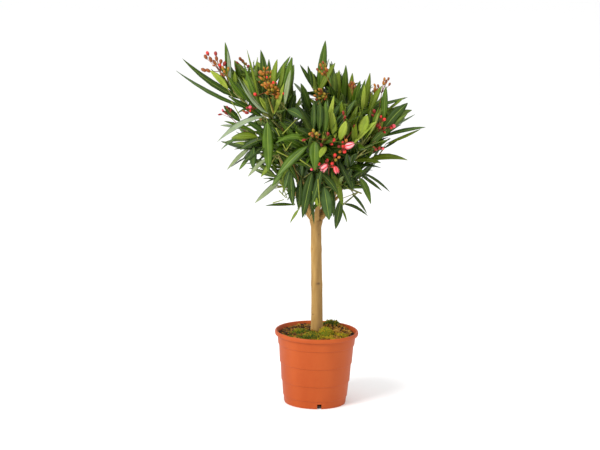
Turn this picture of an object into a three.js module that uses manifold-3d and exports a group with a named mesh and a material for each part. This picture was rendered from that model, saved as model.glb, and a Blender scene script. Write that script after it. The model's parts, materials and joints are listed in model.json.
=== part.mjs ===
// A standard oleander in a plastic nursery pot: a bare stem with a wide two-lobed crown of leafy shoots.
// Millimetres, +Z up. The origin is the middle of the pot's flat underside, and -Y is the front.
import * as THREE from "three";
import { mergeVertices } from "three/addons/utils/BufferGeometryUtils.js";
import Module from "manifold-3d";

const wasm = await Module();
wasm.setup();

// Pot
const GAP = 0.3;
const POT_HEIGHT = 168;
const POT_WALL = 2.2;
const POT_SEGMENTS = 28;
const FOOT_RADIUS = 70;
const FLOOR_HEIGHT = 11.5;
const BOSS_RADIUS = 24;
const NOTCH_WIDTH = 10;
const NOTCH_TURNS = [8, 98, 188, 278];
const DRAIN_RADIUS = 5;
const DRAIN_CIRCLE = 46;
const DRAIN_COUNT = 4;

// Soil and stem
const GROUND = 168;
const SOIL_AT_WALL = 160;
const STEM_BASE_RADIUS = 13.3;
const STEM_TOP_RADIUS = 11.6;
const STEM_FLARE = 1.4;
const FORK_HEIGHT = 422;
const FORK_SHIFT = -7.5;
const HEAD_RADIUS = 15;

// Boughs
const BOUGH_RADIUS = 4.9;
const SIDE_BOUGH_RADIUS = 3.3;
const BOUGH_TIP_SHARE = 0.68;
const STUB_LENGTH = 17;
const STUB_FOOT = 6;
const STUB_LEAN = 40;
const SIDE_ANGLE = 58;

// Shoots, leaves and buds
const MASS_STEM = 24;
const SHOOT_LENGTH = 68;
const SHOOT_SPREAD = 44;
const SHOOT_LIFT = 0.18;
const TWIG_RADIUS = 3.9;
const GOLDEN_TURN = 137.508;
const WHORLS = 4;
const LEAVES_IN_WHORL = 3;
const LEAF_LENGTH = 124;
const LEAF_SLENDERNESS = 5.4;
const LEAF_THICKNESS = 0.0145;
const LEAF_SAG = 0.3;
const OPEN_AT_FOOT = 98;
const OPEN_AT_TIP = 20;
const FREE_FROM = 0.07;
const ROOT_DEPTH = 0.012;
const SPRAY_DEPTH = 26;
const STALK_AT_LEAST = 20;
const BUDS = 4;
const BUD_RADIUS = 3;
const FLOWER_RADIUS = 7;

// The crown's space: how far a mass may reach over its neighbour, the bowl of its underside, and its cleft
const OVERHANG = 60;
const BOWL_FOOT = 412;
const BOWL_REACH = 240;
const BOWL_RISE = 190;
const CLEFT_AT = -59;
const CLEFT_FOOT = 685;
const ATTEMPTS = 3;
const SEED = 22;

// The crown's masses. at is the middle of each one's leaves: a turn round the pot's axis, a reach and a
// height. lean aims its shoots outwards from upright. Its bough leaves the bough that from names, at along of
// that one's length, or else the head of the trunk. size shrinks its shoots.
const MASSES = [
  { name: "left_high", at: [184, 176, 694], lean: 42 },
  { name: "left_front", at: [222, 134, 676], lean: 22 },
  { name: "centre_front", at: [271, 112, 600], lean: 42 },
  { name: "right_far", at: [356, 104, 626], lean: 38 },
  { name: "back_right", at: [50, 122, 622], lean: 40 },
  { name: "back_left", at: [129, 136, 630], lean: 42 },
  { name: "centre_high", at: [32, 28, 686], lean: 5 },
  { name: "left_low", from: "left_high", along: 0.42, at: [180, 140, 588], lean: 76, size: 0.6 },
  { name: "left_foot", from: "left_high", along: 0.12, at: [190, 90, 502], lean: 80, size: 0.6 },
  { name: "left_low_front", from: "left_front", along: 0.36, at: [227, 116, 576], lean: 70, size: 0.8 },
  { name: "left_back", from: "back_left", along: 0.55, at: [150, 118, 696], lean: 16 },
  { name: "centre_low", from: "centre_front", along: 0.16, at: [296, 82, 512], lean: 78, size: 0.6 },
  { name: "front_foot", from: "left_front", along: 0.14, at: [242, 82, 508], lean: 80, size: 0.6 },
  { name: "right_front", from: "right_far", along: 0.5, at: [315, 110, 602], lean: 30 },
  { name: "right_high", from: "centre_high", along: 0.4, at: [10, 70, 662], lean: 12 },
  { name: "right_side", from: "right_far", along: 0.24, at: [2, 108, 556], lean: 66, size: 0.7 },
  { name: "right_low", from: "right_far", along: 0.12, at: [344, 82, 508], lean: 80, size: 0.6 },
  { name: "back_centre", from: "back_right", along: 0.5, at: [84, 108, 690], lean: 18 },
  { name: "back_low", from: "back_left", along: 0.3, at: [90, 112, 566], lean: 64, size: 0.8 },
  { name: "back_low_left", from: "back_left", along: 0.12, at: [146, 88, 520], lean: 76, size: 0.6 },
  { name: "back_low_right", from: "back_right", along: 0.12, at: [34, 86, 516], lean: 76, size: 0.6 },
].map(({ at: [turn, reach, height], ...mass }) => {
  return { turn, reach, height, size: 1, ...mass };
});

// Leaves whose tips give the crown its outline: the mass that carries each one, and where its tip is.
const OUTER_TIPS = [
  { mass: "left_high", tip: [-330, -10, 756] },
  { mass: "left_high", tip: [-312, 10, 783] },
  { mass: "left_high", tip: [-220, -10, 822] },
  { mass: "left_front", tip: [-232, -110, 611] },
  { mass: "left_front", tip: [-117, -140, 560] },
  { mass: "left_back", tip: [-141, 66, 796] },
  { mass: "left_back", tip: [-75, 60, 786] },
  { mass: "left_low", tip: [-224, -10, 580] },
  { mass: "left_low", tip: [-209, 0, 536] },
  { mass: "left_foot", tip: [-163, -20, 522] },
  { mass: "left_foot", tip: [-142, -30, 468] },
  { mass: "left_foot", tip: [-120, 10, 456] },
  { mass: "front_foot", tip: [-66, -70, 424] },
  { mass: "front_foot", tip: [-30, -100, 430] },
  { mass: "centre_low", tip: [34, -80, 416] },
  { mass: "centre_low", tip: [60, -60, 440] },
  { mass: "right_low", tip: [106, -10, 445] },
  { mass: "right_low", tip: [112, -40, 472] },
  { mass: "right_low", tip: [60, 0, 424] },
  { mass: "right_side", tip: [153, -20, 498] },
  { mass: "right_side", tip: [192, -10, 566] },
  { mass: "right_far", tip: [233, 0, 642] },
  { mass: "right_far", tip: [190, 0, 706] },
  { mass: "right_high", tip: [103, 10, 762] },
  { mass: "right_high", tip: [62, 0, 764] },
  { mass: "centre_high", tip: [3, 30, 827] },
  { mass: "centre_front", tip: [-13, -205, 572] },
];

// Sprays of buds: the mass that carries each one, where its top is, and how many of its buds are opening.
const SPRAYS = [
  { mass: "left_high", tip: [-266, -20, 800] },
  { mass: "left_high", tip: [-227, -40, 780] },
  { mass: "left_front", tip: [-133, -90, 780] },
  { mass: "left_front", tip: [-112, -135, 740] },
  { mass: "left_back", tip: [-188, 40, 788] },
  { mass: "centre_high", tip: [-4, -10, 792] },
  { mass: "centre_high", tip: [-10, -60, 738] },
  { mass: "centre_front", tip: [-21, -190, 652] },
  { mass: "centre_front", tip: [38, -170, 633] },
  { mass: "right_high", tip: [64, -10, 744] },
  { mass: "right_far", tip: [144, -10, 750] },
  { mass: "left_low", tip: [-231, -20, 672] },
  { mass: "left_front", tip: [-159, -130, 692] },
  { mass: "right_front", tip: [60, -170, 627], flowers: 1 },
  { mass: "centre_low", tip: [12, -170, 571], flowers: 2 },
  { mass: "right_side", tip: [149, -60, 672] },
  { mass: "right_side", tip: [124, -90, 603] },
  { mass: "back_right", tip: [124, 142, 716] },
  { mass: "back_left", tip: [-128, 176, 722] },
  { mass: "back_centre", tip: [20, 140, 784] },
];

// Colours and finishes, seen in daylight
const PLASTIC = new THREE.MeshStandardMaterial({ color: 0xd0693f, roughness: 0.5, metalness: 0 });
const SOIL = new THREE.MeshStandardMaterial({ color: 0x4a3822, roughness: 0.95, metalness: 0 });
const MOSS = new THREE.MeshStandardMaterial({ color: 0x7d8a2a, roughness: 0.95, metalness: 0 });
const BARK = new THREE.MeshStandardMaterial({ color: 0xb99a63, roughness: 0.75, metalness: 0 });
const LEAF = new THREE.MeshStandardMaterial({ color: 0x3f6a2c, roughness: 0.45, metalness: 0 });

const UP = new THREE.Vector3(0, 0, 1);
const radians = THREE.MathUtils.degToRad;
const lerp = THREE.MathUtils.lerp;

// A point at a compass angle from +X, a distance from the Z axis and a height.
function polar(turn, reach, height) {
  return new THREE.Vector3(reach * Math.cos(radians(turn)), reach * Math.sin(radians(turn)), height);
}

// A unit direction that leans from upright towards a compass angle.
function leaning(lean, turn) {
  return polar(turn, Math.sin(radians(lean)), Math.cos(radians(lean)));
}

// A repeatable row of numbers from 0 to 1.
function seeded(seed) {
  let state = seed >>> 0;
  return () => {
    state = (Math.imul(state, 1664525) + 1013904223) >>> 0;
    return state / 4294967296;
  };
}

// Two directions square to an axis and to each other.
function across(axis) {
  const reference = Math.abs(axis.z) < 0.9 ? UP : new THREE.Vector3(1, 0, 0);
  const first = axis.clone().cross(reference).normalize();
  return [first, axis.clone().cross(first)];
}

// A closed skin over a row of rings. A ring of one point is a tip, and any other end ring is capped flat.
function loft(rings) {
  const points = rings.flat();
  const sides = Math.max(...rings.map((ring) => ring.length));
  const faces = [];
  let start = 0;
  rings.slice(1).forEach((next, i) => {
    const ring = rings[i];
    const after = start + ring.length;
    for (let k = 0; k < sides; k++) {
      const m = (k + 1) % sides;
      const near = [start + (k % ring.length), start + (m % ring.length)];
      const far = [after + (k % next.length), after + (m % next.length)];
      if (ring.length > 1) faces.push(near[0], near[1], far[1]);
      if (next.length > 1) faces.push(near[0], far[1], far[0]);
    }
    start = after;
  });
  for (let k = 1; k + 1 < rings[0].length; k++) faces.push(0, k + 1, k);
  for (let k = 1; k + 1 < rings.at(-1).length; k++) faces.push(start, start + k, start + k + 1);
  return new THREE.BufferGeometry().setFromPoints(points).setIndex(faces);
}

// A round ring of points about a centre, square to two directions.
function ring(centre, [first, second], radius, sides) {
  return Array.from({ length: sides }, (_, k) => {
    const angle = (2 * Math.PI * k) / sides;
    return centre
      .clone()
      .addScaledVector(first, radius * Math.cos(angle))
      .addScaledVector(second, radius * Math.sin(angle));
  });
}

// A limb: rings along a curve, whose radius follows radiusAt from 0 at the foot to 1 at the tip.
function limb(curve, radiusAt, sides, steps) {
  const frames = curve.computeFrenetFrames(steps, false);
  return loft(
    frames.tangents.map((_, i) =>
      ring(
        curve.getPointAt(i / steps),
        [frames.normals[i], frames.binormals[i]],
        radiusAt(i / steps),
        sides,
      ),
    ),
  );
}

// A three.js geometry as a solid that can be joined and cut, and back.
function solid(geometry) {
  const bare = geometry.clone();
  bare.deleteAttribute("normal");
  bare.deleteAttribute("uv");
  const merged = mergeVertices(bare, 1e-4);
  return new wasm.Manifold(
    new wasm.Mesh({
      numProp: 3,
      vertProperties: merged.attributes.position.array,
      triVerts: new Uint32Array(merged.index.array),
    }),
  );
}

function geometryOf(body) {
  const mesh = body.getMesh();
  return new THREE.BufferGeometry()
    .setAttribute("position", new THREE.BufferAttribute(mesh.vertProperties, 3))
    .setIndex(new THREE.BufferAttribute(mesh.triVerts, 1));
}

// Pot: a turned shell with four shallow steps, a rolled rim, a raised floor over a boss, and a notched skirt
function potProfile() {
  const outer = [
    [FOOT_RADIUS, 0],
    [72.3, 17],
    [73, 18],
    [76.8, 52],
    [77.6, 53],
    [81.2, 94],
    [82, 95],
    [85.6, 136],
    [86.8, 138],
    [89.2, 157],
    [94.4, 158.5],
    [95, 161],
    [95, 165.5],
    [93.2, POT_HEIGHT],
    [90.6, 167.4],
  ];
  const wall = (radius) => radius - POT_WALL;
  const inner = [
    [wall(89.2), 157],
    [wall(86.2), 138],
    [wall(72.6), FLOOR_HEIGHT + POT_WALL],
    [0, FLOOR_HEIGHT + POT_WALL],
  ];
  const underside = [
    [0, 0],
    [BOSS_RADIUS - 1.5, 0],
    [BOSS_RADIUS, FLOOR_HEIGHT],
    [wall(71.4), FLOOR_HEIGHT],
    [wall(FOOT_RADIUS), 0],
  ];
  return [...underside, ...outer, ...inner].map(([radius, height]) => new THREE.Vector2(radius, height));
}

function turned(profile, segments) {
  return new THREE.LatheGeometry(profile, segments).rotateX(Math.PI / 2);
}

function pot() {
  let body = solid(turned(potProfile(), POT_SEGMENTS));
  for (const turn of NOTCH_TURNS) {
    const notch = new THREE.BoxGeometry(20, NOTCH_WIDTH, 2 * FLOOR_HEIGHT)
      .translate(FOOT_RADIUS, 0, 0)
      .rotateZ(radians(turn));
    body = body.subtract(solid(notch));
  }
  for (let i = 0; i < DRAIN_COUNT; i++) {
    const drain = new THREE.CylinderGeometry(DRAIN_RADIUS, DRAIN_RADIUS, 4 * POT_WALL, 8)
      .rotateX(Math.PI / 2)
      .translate(DRAIN_CIRCLE, 0, FLOOR_HEIGHT + POT_WALL / 2)
      .rotateZ((2 * Math.PI * (i + 0.5)) / DRAIN_COUNT);
    body = body.subtract(solid(drain));
  }
  return body;
}

// Height of the soil at a place: a low mound round the stem, higher at the back right, with small lumps.
function soilHeight(x, y) {
  const share = Math.min(1, Math.hypot(x, y) / 84);
  const lumps = 1.6 * Math.sin(x / 7 + 1) * Math.cos(y / 9) + 1.1 * Math.sin((x + 2 * y) / 11);
  const rear = 6 * Math.exp(-((x - 38) ** 2 + (y - 52) ** 2) / 700);
  const unevenness = (lumps + rear) * Math.min(1, 3 * (1 - share) + 0.35);
  const level = lerp(GROUND - 1, SOIL_AT_WALL, share ** 2) + unevenness;
  const seat = THREE.MathUtils.smoothstep(Math.hypot(x, y), 17, 26);
  return lerp(GROUND - GAP, level, seat);
}

function soil() {
  const bottom = FLOOR_HEIGHT + POT_WALL + GAP;
  const low = 72.6 - POT_WALL - GAP;
  const high = 88.4 - POT_WALL - GAP;
  const surface = [0.9, 0.68, 0.44, 0.2, 0].map((share) => [share * high, SOIL_AT_WALL]);
  const wall = [[0, bottom], [low, bottom], [83.9 - GAP, 138], [high, SOIL_AT_WALL - 2]];
  const profile = [...wall, ...surface].map(([radius, height]) => new THREE.Vector2(radius, height));
  const geometry = turned(profile, POT_SEGMENTS);
  const place = geometry.attributes.position;
  for (let i = 0; i < place.count; i++) {
    if (place.getZ(i) === SOIL_AT_WALL) place.setZ(i, soilHeight(place.getX(i), place.getY(i)));
  }
  return solid(geometry);
}

// Moss: flattened cushions that lie on the soil round the stem's foot.
const CUSHIONS = [
  { name: "moss_left", turn: 210, reach: 42, size: 18, rise: 9 },
  { name: "moss_front", turn: 258, reach: 56, size: 21, rise: 8 },
  { name: "moss_right", turn: 304, reach: 38, size: 18, rise: 11 },
  { name: "moss_far_right", turn: 328, reach: 68, size: 14, rise: 6 },
  { name: "moss_back", turn: 58, reach: 62, size: 20, rise: 9 },
];

function cushion({ turn, reach, size, rise }, ground, stem) {
  const middle = polar(turn, reach, 0);
  const height = soilHeight(middle.x, middle.y);
  const lump = new THREE.SphereGeometry(1, 8, 4)
    .rotateX(Math.PI / 2)
    .scale(size, 0.8 * size, rise)
    .rotateZ(radians(turn))
    .translate(middle.x, middle.y, height);
  return solid(lump).subtract(ground.translate(0, 0, GAP)).subtract(stem);
}

// Stem: a tapering trunk with a small flare, two old leaf scars and a swollen head with a stub for each bough
const FORK = new THREE.Vector3(FORK_SHIFT, 0, FORK_HEIGHT);
const STEM_LINE = new THREE.CubicBezierCurve3(
  new THREE.Vector3(0, 0, GROUND),
  new THREE.Vector3(0, 0, 250),
  new THREE.Vector3(-6, -2, 335),
  FORK,
);

const STUB_START = FORK.clone().addScaledVector(UP, -STUB_FOOT);

function stemRadius(along) {
  const taper = lerp(STEM_BASE_RADIUS, STEM_TOP_RADIUS, along);
  const flare = STEM_FLARE * Math.exp(-along / 0.05);
  const scar = (place, rise) => rise * Math.exp(-(((along - place) / 0.035) ** 2));
  const scars = scar(0.74, 0.7) + scar(0.42, 0.5);
  const head = (HEAD_RADIUS - STEM_TOP_RADIUS) * THREE.MathUtils.smoothstep(along, 0.93, 1);
  return taper + flare + scars + head;
}

// Direction in which a bough leaves the head of the trunk.
function stubDirection(mass) {
  return leaning(Math.min(STUB_LEAN, 1.5 * mass.lean), mass.turn);
}

function stub(mass, extra) {
  const direction = stubDirection(mass);
  const sides = across(direction);
  const half = (STUB_LENGTH + STUB_FOOT + extra) / 2;
  const swellings = [1.5, 0.6, 0];
  return loft(
    swellings.map((swelling, i) => {
      const centre = STUB_START.clone().addScaledVector(direction, i * half);
      return ring(centre, sides, BOUGH_RADIUS + swelling + extra, 6);
    }),
  );
}

function trunk(extra = 0) {
  const stem = solid(limb(STEM_LINE, (along) => stemRadius(along) + extra, 12, 11));
  const stubs = MASSES.filter((mass) => !mass.from).map((mass) => solid(stub(mass, extra)));
  return stubs.reduce((body, next) => body.add(next), stem);
}

// Boughs: each runs from the trunk's head, or from the limb it leaves, to the foot of its mass.
const curves = {};

function middleOf(mass) {
  return polar(mass.turn, mass.reach, mass.height);
}

function axisOf(mass) {
  return leaning(mass.lean, mass.turn);
}

function seatOf(mass) {
  return middleOf(mass).addScaledVector(axisOf(mass), -mass.size * (MASS_STEM + SHOOT_LENGTH / 2));
}

// A side bough leaves its parent at SIDE_ANGLE, on the side where its own mass lies.
function forkDirection(tangent, towards) {
  const sideways = towards.addScaledVector(tangent, -towards.dot(tangent)).normalize();
  const angle = radians(SIDE_ANGLE);
  return tangent.clone().multiplyScalar(Math.cos(angle)).addScaledVector(sideways, Math.sin(angle));
}

function boughCurve(mass) {
  const seat = seatOf(mass);
  const parent = curves[mass.from];
  const start = parent
    ? parent.getPointAt(mass.along)
    : STUB_START.clone().addScaledVector(stubDirection(mass), STUB_LENGTH + STUB_FOOT + GAP);
  const first = parent
    ? forkDirection(parent.getTangentAt(mass.along), seat.clone().sub(start))
    : stubDirection(mass);
  const span = start.distanceTo(seat);
  return new THREE.CubicBezierCurve3(
    start,
    start.clone().addScaledVector(first, 0.34 * span),
    seat.clone().addScaledVector(axisOf(mass), -0.3 * span),
    seat,
  );
}

function boughRadius(mass) {
  const foot = mass.from ? SIDE_BOUGH_RADIUS : BOUGH_RADIUS;
  return (along) => lerp(foot, foot * BOUGH_TIP_SHARE, along);
}

// The largest body of a cut or joined solid, without its loose scraps and with its sealed hollows filled.
function largest(body) {
  return body.decompose().reduce((best, next) => (next.volume() > best.volume() ? next : best));
}

function bough(mass, extra = 0) {
  const radius = boughRadius(mass);
  return solid(limb(curves[mass.name], (along) => radius(along) + extra, 5, 4));
}

// Leaves: narrow blades with a flat face and a keel, that bend down by their own weight.
// A leaf is {root, reach, drop, side, width}: it runs from its root by reach, less the drop of its tip.
function leafPoint(leaf, along) {
  return leaf.root
    .clone()
    .addScaledVector(leaf.reach, along)
    .addScaledVector(UP, -leaf.drop * along ** 2);
}

// Three points across the blade, square to its direction there.
function leafRing(leaf, along, share, extra) {
  const tangent = leaf.reach.clone().addScaledVector(UP, -2 * leaf.drop * along).normalize();
  const normal = tangent.cross(leaf.side).normalize();
  const middle = leafPoint(leaf, along);
  const half = (share * leaf.width) / 2 + extra;
  const keel = share * LEAF_THICKNESS * leaf.reach.length() + extra;
  return [
    middle.clone().addScaledVector(leaf.side, half),
    middle.clone().addScaledVector(leaf.side, -half),
    middle.clone().addScaledVector(normal, -keel),
  ];
}

// The whole blade, from the point where it is rooted, or only its free part from a share of its length on.
function blade(leaf, from = 0, extra = 0) {
  return loft([
    from ? leafRing(leaf, from, 0.95 * (from / 0.34), extra) : [leafPoint(leaf, -ROOT_DEPTH)],
    leafRing(leaf, 0.34, 0.95, extra),
    leafRing(leaf, 0.69, 0.84, extra),
    [leafPoint(leaf, 1)],
  ]);
}

// One leaf of a shoot: wide open at the shoot's foot, steep at its tip, and each one a little out of line.
function leafOf(shoot, size, whorl, place, random) {
  const share = whorl / (WHORLS - 1);
  const along = lerp(0.3, 0.87, share) + 0.025 * place;
  const axis = shoot.getTangentAt(along);
  const [first, second] = across(axis);
  const turn = radians((360 / LEAVES_IN_WHORL) * place + 60 * whorl + 40 * (random() - 0.5));
  const open = radians(lerp(OPEN_AT_FOOT, OPEN_AT_TIP, share ** 0.8) + 24 * (random() - 0.5));
  const outward = first.clone().multiplyScalar(Math.cos(turn)).addScaledVector(second, Math.sin(turn));
  const direction = axis.clone().multiplyScalar(Math.cos(open)).addScaledVector(outward, Math.sin(open));
  const twist = radians(44 * (random() - 0.5));
  const side = axis.clone().cross(direction).normalize().applyAxisAngle(direction, twist);
  const middling = 1 - 1.1 * (share - 0.5) ** 2;
  const length = LEAF_LENGTH * lerp(1, size, 0.5) * middling * lerp(0.84, 1.12, random());
  const level = Math.sqrt(1 - direction.z ** 2);
  const drop = length * LEAF_SAG * level * lerp(1, 0.35, share) * lerp(0.5, 1.3, random());
  const reach = direction.multiplyScalar(length);
  return { root: shoot.getPointAt(along), reach, drop, side, width: length / LEAF_SLENDERNESS };
}

// A leaf from the tip of a shoot to a point of the crown's outline.
function outerLeaf(shoot, tip) {
  const root = shoot.getPointAt(0.93);
  const reach = tip.clone().sub(root);
  const drop = 0.5 * LEAF_SAG * Math.hypot(reach.x, reach.y);
  reach.addScaledVector(UP, drop);
  const side = reach.clone().cross(UP).normalize();
  return { root, reach, drop, side, width: reach.length() / LEAF_SLENDERNESS };
}

function nearestFirst(shoots, goal) {
  const away = (shoot) => shoot.getPoint(1).distanceTo(goal);
  return shoots.toSorted((one, other) => away(one) - away(other));
}

// The shoots of one mass: they fan out from its stem by the golden angle and lean up towards the light.
function shootsOf(mass, random) {
  const axis = axisOf(mass);
  const [first, second] = across(axis);
  const seat = seatOf(mass);
  const count = mass.size < 1 ? 3 : 4;
  return Array.from({ length: count }, (_, i) => {
    const turn = radians(GOLDEN_TURN * i + 360 * random());
    const tilt = radians(SHOOT_SPREAD * Math.sqrt((i + 0.35) / count));
    const outward = first.clone().multiplyScalar(Math.cos(turn)).addScaledVector(second, Math.sin(turn));
    const direction = axis.clone().multiplyScalar(Math.cos(tilt)).addScaledVector(outward, Math.sin(tilt));
    direction.addScaledVector(UP, SHOOT_LIFT).normalize();
    const start = seat.clone().addScaledVector(axis, mass.size * MASS_STEM * lerp(0.94, 0.5, i / count));
    const length = mass.size * SHOOT_LENGTH * lerp(0.85, 1.2, random());
    return new THREE.LineCurve3(start, start.clone().addScaledVector(direction, length));
  });
}

function twig(shoot, extra) {
  return limb(shoot, (along) => lerp(TWIG_RADIUS, 0.85 * TWIG_RADIUS, along) + extra, 3, 1);
}

// Buds: a stalk from the shoot's tip towards the spray's top, with spindle-shaped buds round its end, some of
// them opening.
function budSpray(shoot, top, flowers, random) {
  const tip = shoot.getPointAt(0.94);
  const axis = top.clone().sub(tip);
  const stalk = Math.max(STALK_AT_LEAST, axis.length() - SPRAY_DEPTH);
  axis.normalize();
  const sides = across(axis);
  const [first, second] = sides;
  const stalkEnd = tip.clone().addScaledVector(axis, stalk);
  const pieces = [loft([ring(tip, sides, 1.6, 3), ring(stalkEnd, sides, 1.2, 3)])];
  for (let i = 0; i < BUDS; i++) {
    const turn = radians(GOLDEN_TURN * i);
    const open = radians(16 + 11 * i);
    const outward = first.clone().multiplyScalar(Math.cos(turn)).addScaledVector(second, Math.sin(turn));
    const direction = axis.clone().multiplyScalar(Math.cos(open)).addScaledVector(outward, Math.sin(open));
    const foot = tip.clone().addScaledVector(axis, stalk - 2 - (i * (stalk - 6)) / (BUDS + 2));
    const reach = lerp(24, 30, random());
    const radius = i < flowers ? FLOWER_RADIUS : BUD_RADIUS;
    const belly = foot.clone().addScaledVector(direction, 0.74 * reach);
    const end = foot.clone().addScaledVector(direction, reach);
    pieces.push(loft([[foot], ring(belly, across(direction), radius, 3), [end]]));
  }
  return pieces;
}

// The crown's space: a piece fits where it stays above the bowl of the underside, on its own side of the
// cleft, and no further than OVERHANG past the plane halfway to the middle of any other mass.
function pointsOf(geometry) {
  const place = geometry.attributes.position;
  return Array.from({ length: place.count }, (_, i) => new THREE.Vector3().fromBufferAttribute(place, i));
}

function isInSpace(geometry, mass) {
  const middle = middleOf(mass);
  const points = pointsOf(geometry);
  const out = (point) => Math.hypot(point.x - FORK_SHIFT, point.y) / BOWL_REACH;
  const sameSide = (point) => (point.x - CLEFT_AT) * (middle.x - CLEFT_AT) > 0;
  if (points.some((point) => point.z < BOWL_FOOT + BOWL_RISE * out(point) ** 2.5)) return false;
  if (points.some((point) => point.z > CLEFT_FOOT && !sameSide(point))) return false;
  return MASSES.filter((other) => other !== mass).every((other) => {
    const away = middleOf(other).sub(middle);
    const limit = away.length() / 2 + OVERHANG;
    away.normalize();
    return points.every((point) => point.clone().sub(middle).dot(away) < limit);
  });
}

// Foliage: each mass is one solid that starts as a stem, a little way above the tip of its bough, and all of
// them grow together. A piece that would touch a limb or another mass is left out, a leaf only after some
// tries.
function seedling(mass, i) {
  const random = seeded(SEED + 1000 * i);
  const axis = axisOf(mass);
  const sides = across(axis);
  const radius = boughRadius(mass)(1);
  const foot = seatOf(mass).addScaledVector(axis, GAP);
  const top = foot.clone().addScaledVector(axis, mass.size * MASS_STEM);
  const body = solid(loft([ring(foot, sides, radius, 3), ring(top, sides, 0.8 * radius, 3)]));
  return { mass, random, body, shoots: shootsOf(mass, random) };
}

function fuse(plant, geometry) {
  plant.body = plant.body.add(solid(geometry));
}

function grow(limbs) {
  const plants = MASSES.map(seedling);

  function isFree(geometry, plant) {
    const piece = solid(geometry);
    const others = plants.filter((other) => other !== plant).map((other) => other.body);
    return [limbs, ...others].every((body) => piece.intersect(body).isEmpty());
  }

  function fits(leaf, plant) {
    const free = solid(blade(leaf, FREE_FROM));
    return isFree(blade(leaf, 0, GAP), plant) && free.intersect(plant.body).isEmpty();
  }

  function addLeaf(plant, shoot, whorl, place) {
    for (let attempt = 0; attempt < ATTEMPTS; attempt++) {
      const leaf = leafOf(shoot, plant.mass.size, whorl, place, plant.random);
      if (isInSpace(blade(leaf), plant.mass) && fits(leaf, plant)) {
        fuse(plant, blade(leaf));
        return;
      }
    }
  }

  for (const plant of plants) {
    plant.shoots = plant.shoots.filter((shoot) => {
      const free = isFree(twig(shoot, GAP), plant);
      if (free) fuse(plant, twig(shoot, 0));
      return free;
    });
  }
  for (const { mass, tip } of OUTER_TIPS) {
    const plant = plants.find((other) => other.mass.name === mass);
    const goal = new THREE.Vector3(...tip);
    const leaf = nearestFirst(plant.shoots, goal)
      .map((shoot) => outerLeaf(shoot, goal))
      .find((next) => fits(next, plant));
    if (leaf) fuse(plant, blade(leaf));
  }
  for (const { mass, tip, flowers = 0 } of SPRAYS) {
    const plant = plants.find((other) => other.mass.name === mass);
    const goal = new THREE.Vector3(...tip);
    const spray = nearestFirst(plant.shoots, goal)
      .map((shoot) => budSpray(shoot, goal, flowers, plant.random))
      .find((pieces) => pieces.every((piece) => isFree(piece, plant)));
    if (spray) spray.forEach((piece) => fuse(plant, piece));
  }
  for (let whorl = WHORLS - 1; whorl >= 0; whorl--) {
    for (const plant of plants.filter(({ mass }) => whorl > 0 || mass.size === 1)) {
      for (const shoot of plant.shoots) {
        for (let place = 0; place < LEAVES_IN_WHORL; place++) addLeaf(plant, shoot, whorl, place);
      }
    }
  }
  return plants;
}

const oleander = new THREE.Group();

function addNode(name, body, material) {
  const mesh = new THREE.Mesh(geometryOf(body), material);
  mesh.name = name;
  oleander.add(mesh);
}

addNode("pot", pot(), PLASTIC);
const ground = soil();
addNode("soil", ground, SOIL);
const stem = trunk();
addNode("trunk", stem, BARK);
const grownStem = trunk(GAP);
for (const lump of CUSHIONS) addNode(lump.name, cushion(lump, ground, grownStem), MOSS);

let limbs = stem;
for (const mass of MASSES) {
  curves[mass.name] = boughCurve(mass);
  const parent = MASSES.find((other) => other.name === mass.from);
  const body = parent ? largest(bough(mass).subtract(bough(parent, GAP))) : bough(mass);
  addNode("bough_" + mass.name, body, BARK);
  limbs = limbs.add(body);
}
for (const plant of grow(limbs)) addNode("foliage_" + plant.mass.name, largest(plant.body), LEAF);

export default oleander;
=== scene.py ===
# %% [markdown]
# # A potted oleander
# This is a young oleander that a nursery has grown as a small standard: one bare stem, cut back at the top
# so that it forks, and a wide crown of narrow leathery leaves with buds and a little pink blossom. It
# stands in a round plastic pot. The solids of the plant come in as a fixed frame, and every piece below is
# made to lie where the frame has it. Lengths are worked out in millimetres and turned into metres where a
# mesh is made.

# %% Load the frame
import json

import bpy
import numpy as np
from mathutils import Matrix, Vector

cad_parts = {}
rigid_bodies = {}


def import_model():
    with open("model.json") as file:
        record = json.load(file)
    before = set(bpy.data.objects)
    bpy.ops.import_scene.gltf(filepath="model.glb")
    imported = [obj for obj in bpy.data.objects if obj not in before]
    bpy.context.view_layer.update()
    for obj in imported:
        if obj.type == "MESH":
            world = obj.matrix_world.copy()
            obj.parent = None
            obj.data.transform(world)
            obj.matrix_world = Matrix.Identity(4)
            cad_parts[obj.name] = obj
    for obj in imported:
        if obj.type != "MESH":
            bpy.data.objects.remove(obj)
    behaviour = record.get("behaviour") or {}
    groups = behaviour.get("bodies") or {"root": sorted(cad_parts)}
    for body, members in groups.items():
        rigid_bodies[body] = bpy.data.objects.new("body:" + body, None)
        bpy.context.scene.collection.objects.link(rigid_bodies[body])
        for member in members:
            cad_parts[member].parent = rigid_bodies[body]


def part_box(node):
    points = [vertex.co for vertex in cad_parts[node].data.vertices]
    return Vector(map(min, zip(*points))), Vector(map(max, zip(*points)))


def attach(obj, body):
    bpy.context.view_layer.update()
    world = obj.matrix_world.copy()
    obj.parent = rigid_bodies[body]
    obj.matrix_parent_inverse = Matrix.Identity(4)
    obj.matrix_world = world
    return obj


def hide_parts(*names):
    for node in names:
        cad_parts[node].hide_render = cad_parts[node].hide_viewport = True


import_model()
MM = 0.001
UP = np.array([0.0, 0.0, 1.0])
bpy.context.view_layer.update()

# %% [markdown]
# ## Camera
# A plant portrait is taken from far off with a long lens, so that the near leaves don't look larger than
# the far ones. The camera stands five metres away and a little above the crown, aims at the middle of the
# plant, and is turned by just over a degree about its own line of sight, because the plant leans in the
# picture.

# %% Camera
VIEW_CENTRE = (-0.0438, 0.0, 0.4106)
VIEW_DISTANCE = 4.971
VIEW_ELEVATION = 11.0
VIEW_ROLL = 1.4
LENS = 132
FILM_WIDTH = 36


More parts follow.
